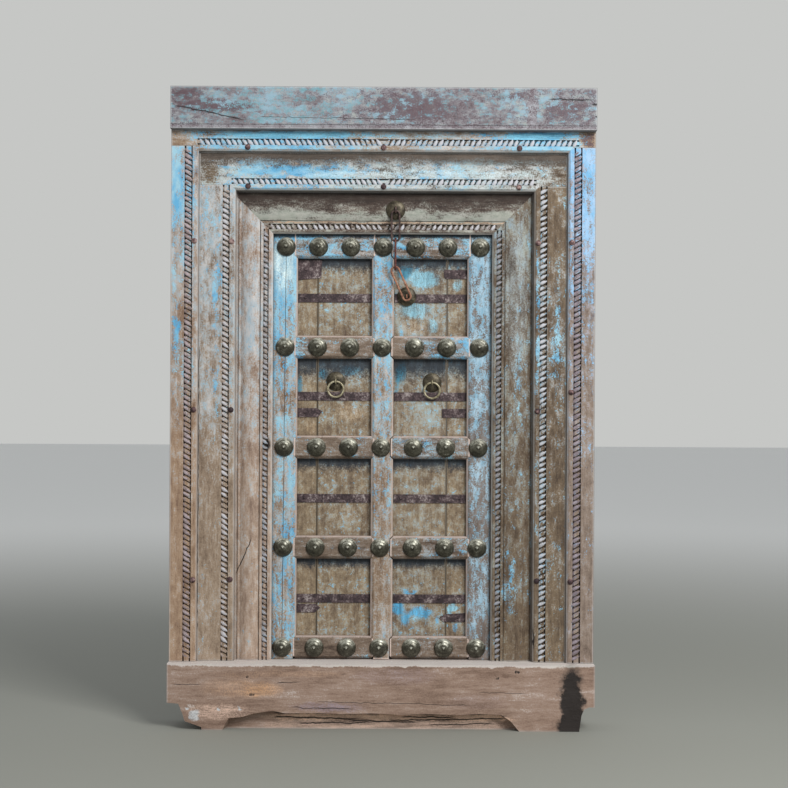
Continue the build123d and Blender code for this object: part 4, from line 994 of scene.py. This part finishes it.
boss_bronze = patina("boss_bronze", tone(36, 33, 26), tone(84, 82, 70), tone(204, 204, 190),
                     0.45, 0.34, relief=0.35, rub_and_highlight=(leaf_y - 0.020, leaf_y - 0.025), dust_and_sheen=0.4)
plate_bronze = patina("plate_bronze", tone(40, 35, 28), tone(84, 77, 62), tone(132, 124, 104),
                      0.6, 0.45)
ring_brass = patina("ring_brass", tone(104, 94, 72), tone(172, 164, 136), tone(226, 220, 196),
                    0.3, 0.38)
chain_dark = patina("chain_dark", tone(44, 34, 34), tone(84, 66, 62), tone(134, 112, 102),
                    0.3, 0.6, 260.0)
chain_red = patina("chain_red", tone(66, 34, 32), tone(112, 66, 58), tone(164, 110, 92),
                   0.3, 0.62, 260.0)
chain_rust = patina("chain_rust", tone(108, 66, 54), tone(184, 136, 110), tone(222, 182, 156),
                    0.25, 0.62, 260.0)
strap_scale = patina("strap_scale", tone(46, 34, 38), tone(88, 72, 74), tone(160, 150, 148),
                     0.15, 0.7, 80.0, 0.75)
nail_rust = patina("nail_rust", tone(50, 36, 40), tone(104, 78, 78), tone(182, 156, 150),
                   0.2, 0.7, 34.0, 0.9)
metals = {
    "bosses_left": boss_bronze, "bosses_right": boss_bronze, "lintel_plate": plate_bronze,
    "catch_plate": plate_bronze, "ring_plate_left": plate_bronze,
    "ring_plate_right": plate_bronze, "ring_left": ring_brass, "ring_right": ring_brass,
    "chain_link_1": chain_dark, "chain_link_2": chain_red, "chain_link_3": chain_rust,
    "lintel_staple": chain_dark, "catch_staple": chain_rust, "ring_staple_left": ring_brass,
    "ring_staple_right": ring_brass, "straps_left": strap_scale, "straps_right": strap_scale,
    "strap_ends_left": strap_scale, "strap_ends_right": strap_scale,
    "strap_nails_left": strap_scale, "strap_nails_right": strap_scale, "frame_nails": nail_rust,
}
for node, material in metals.items():
    dress(node, material)
print("metals dressed:", len(metals))

# %% [markdown]
# ## Floor, light and camera
# The door was photographed in even light that came from the upper right, so one large softbox
# stands there and the sky fills the rest. A sky picture would light it too, but it would show in
# the bosses. The camera stands square to the door at about a metre's height, five and a half
# metres off, and is rolled a third of a degree. The floor is greyer around the door and painted
# paler far off, where the softbox's light falls away, so that what lies behind the door reads as
# a plain pale ground.

# %% The floor
floor_mesh = bpy.data.meshes.new("floor")
floor_mesh.from_pydata([(-30, -30, 0), (30, -30, 0), (30, 30, 0), (-30, 30, 0)], [],
                       [(0, 1, 2, 3)])
floor = bpy.data.objects.new("floor", floor_mesh)
bpy.context.scene.collection.objects.link(floor)
pale = Finish("pale_floor")
away = pale.node("ShaderNodeVectorMath", {"operation": "LENGTH"}, {0: pale.place}, "Value")
# Painted light: the floor is paler far from the door, to make up for the softbox's light falling
# away
floor_falloff_colour = pale.mix(away.rise(1.5, 9.0), tone(144, 145, 137), tone(240, 240, 236))
floor_mesh.materials.append(pale.close(floor_falloff_colour, 0.8))

# %% The sky and the light
world = bpy.data.worlds.new("studio")
bpy.context.scene.world = world
world.use_nodes = True
sky = Tree(world.node_tree)
# Camera and mirror rays see a pale grey, and everything else is lit by a cooler sky
to_camera = sky.node("ShaderNodeLightPath", {}, {}, "Is Camera Ray")
mirrored = to_camera.also("Is Glossy Ray") + to_camera.also("Is Transmission Ray")
seen = sky.node("ShaderNodeBackground", {}, {"Color": tone(198, 199, 197)})
lit = sky.node("ShaderNodeBackground", {}, {"Color": (0.93, 0.96, 1.0, 1), "Strength": 0.5})
both = sky.node("ShaderNodeMixShader", {}, {0: (to_camera + mirrored).held(), 1: lit, 2: seen})
sky.node("ShaderNodeOutputWorld", {}, {"Surface": both})


def softbox(name, place, aim, size, power, colour):
    """A large square lamp that points at a spot."""
    data = bpy.data.lights.new(name, "AREA")
    data.size = size
    data.energy = power
    data.color = colour
    lamp = bpy.data.objects.new(name, data)
    lamp.location = place
    lamp.rotation_euler = (Vector(aim) - Vector(place)).to_track_quat("-Z", "Y").to_euler()
    bpy.context.scene.collection.objects.link(lamp)


softbox("key", (2.2, -3.9, 3.9), (0, 0, 1.0), 2.0, 245.0, (1.0, 0.99, 0.97))
print("studio: a floor, a sky and one softbox")

# %% The camera
PHOTO_SIDE = 788
FOCAL_PIXELS = 1757.3
SENSOR = 36.0
CAMERA_X, CAMERA_AWAY, CAMERA_Z = 0.0363, 5.45, 1.045
ROLL = math.radians(-0.3)
camera_data = bpy.data.cameras.new("camera")
camera_data.sensor_width = SENSOR
camera_data.lens = SENSOR * FOCAL_PIXELS / PHOTO_SIDE
camera = bpy.data.objects.new("camera", camera_data)
camera.location = (CAMERA_X, FRONT - CAMERA_AWAY, CAMERA_Z)
camera.rotation_euler = (math.pi / 2, ROLL, 0)
bpy.context.scene.collection.objects.link(camera)
bpy.context.scene.camera = camera
bpy.context.scene.view_settings.view_transform = "Standard"
print("camera lens:", round(camera_data.lens, 1), "mm, from", tuple(camera.location))
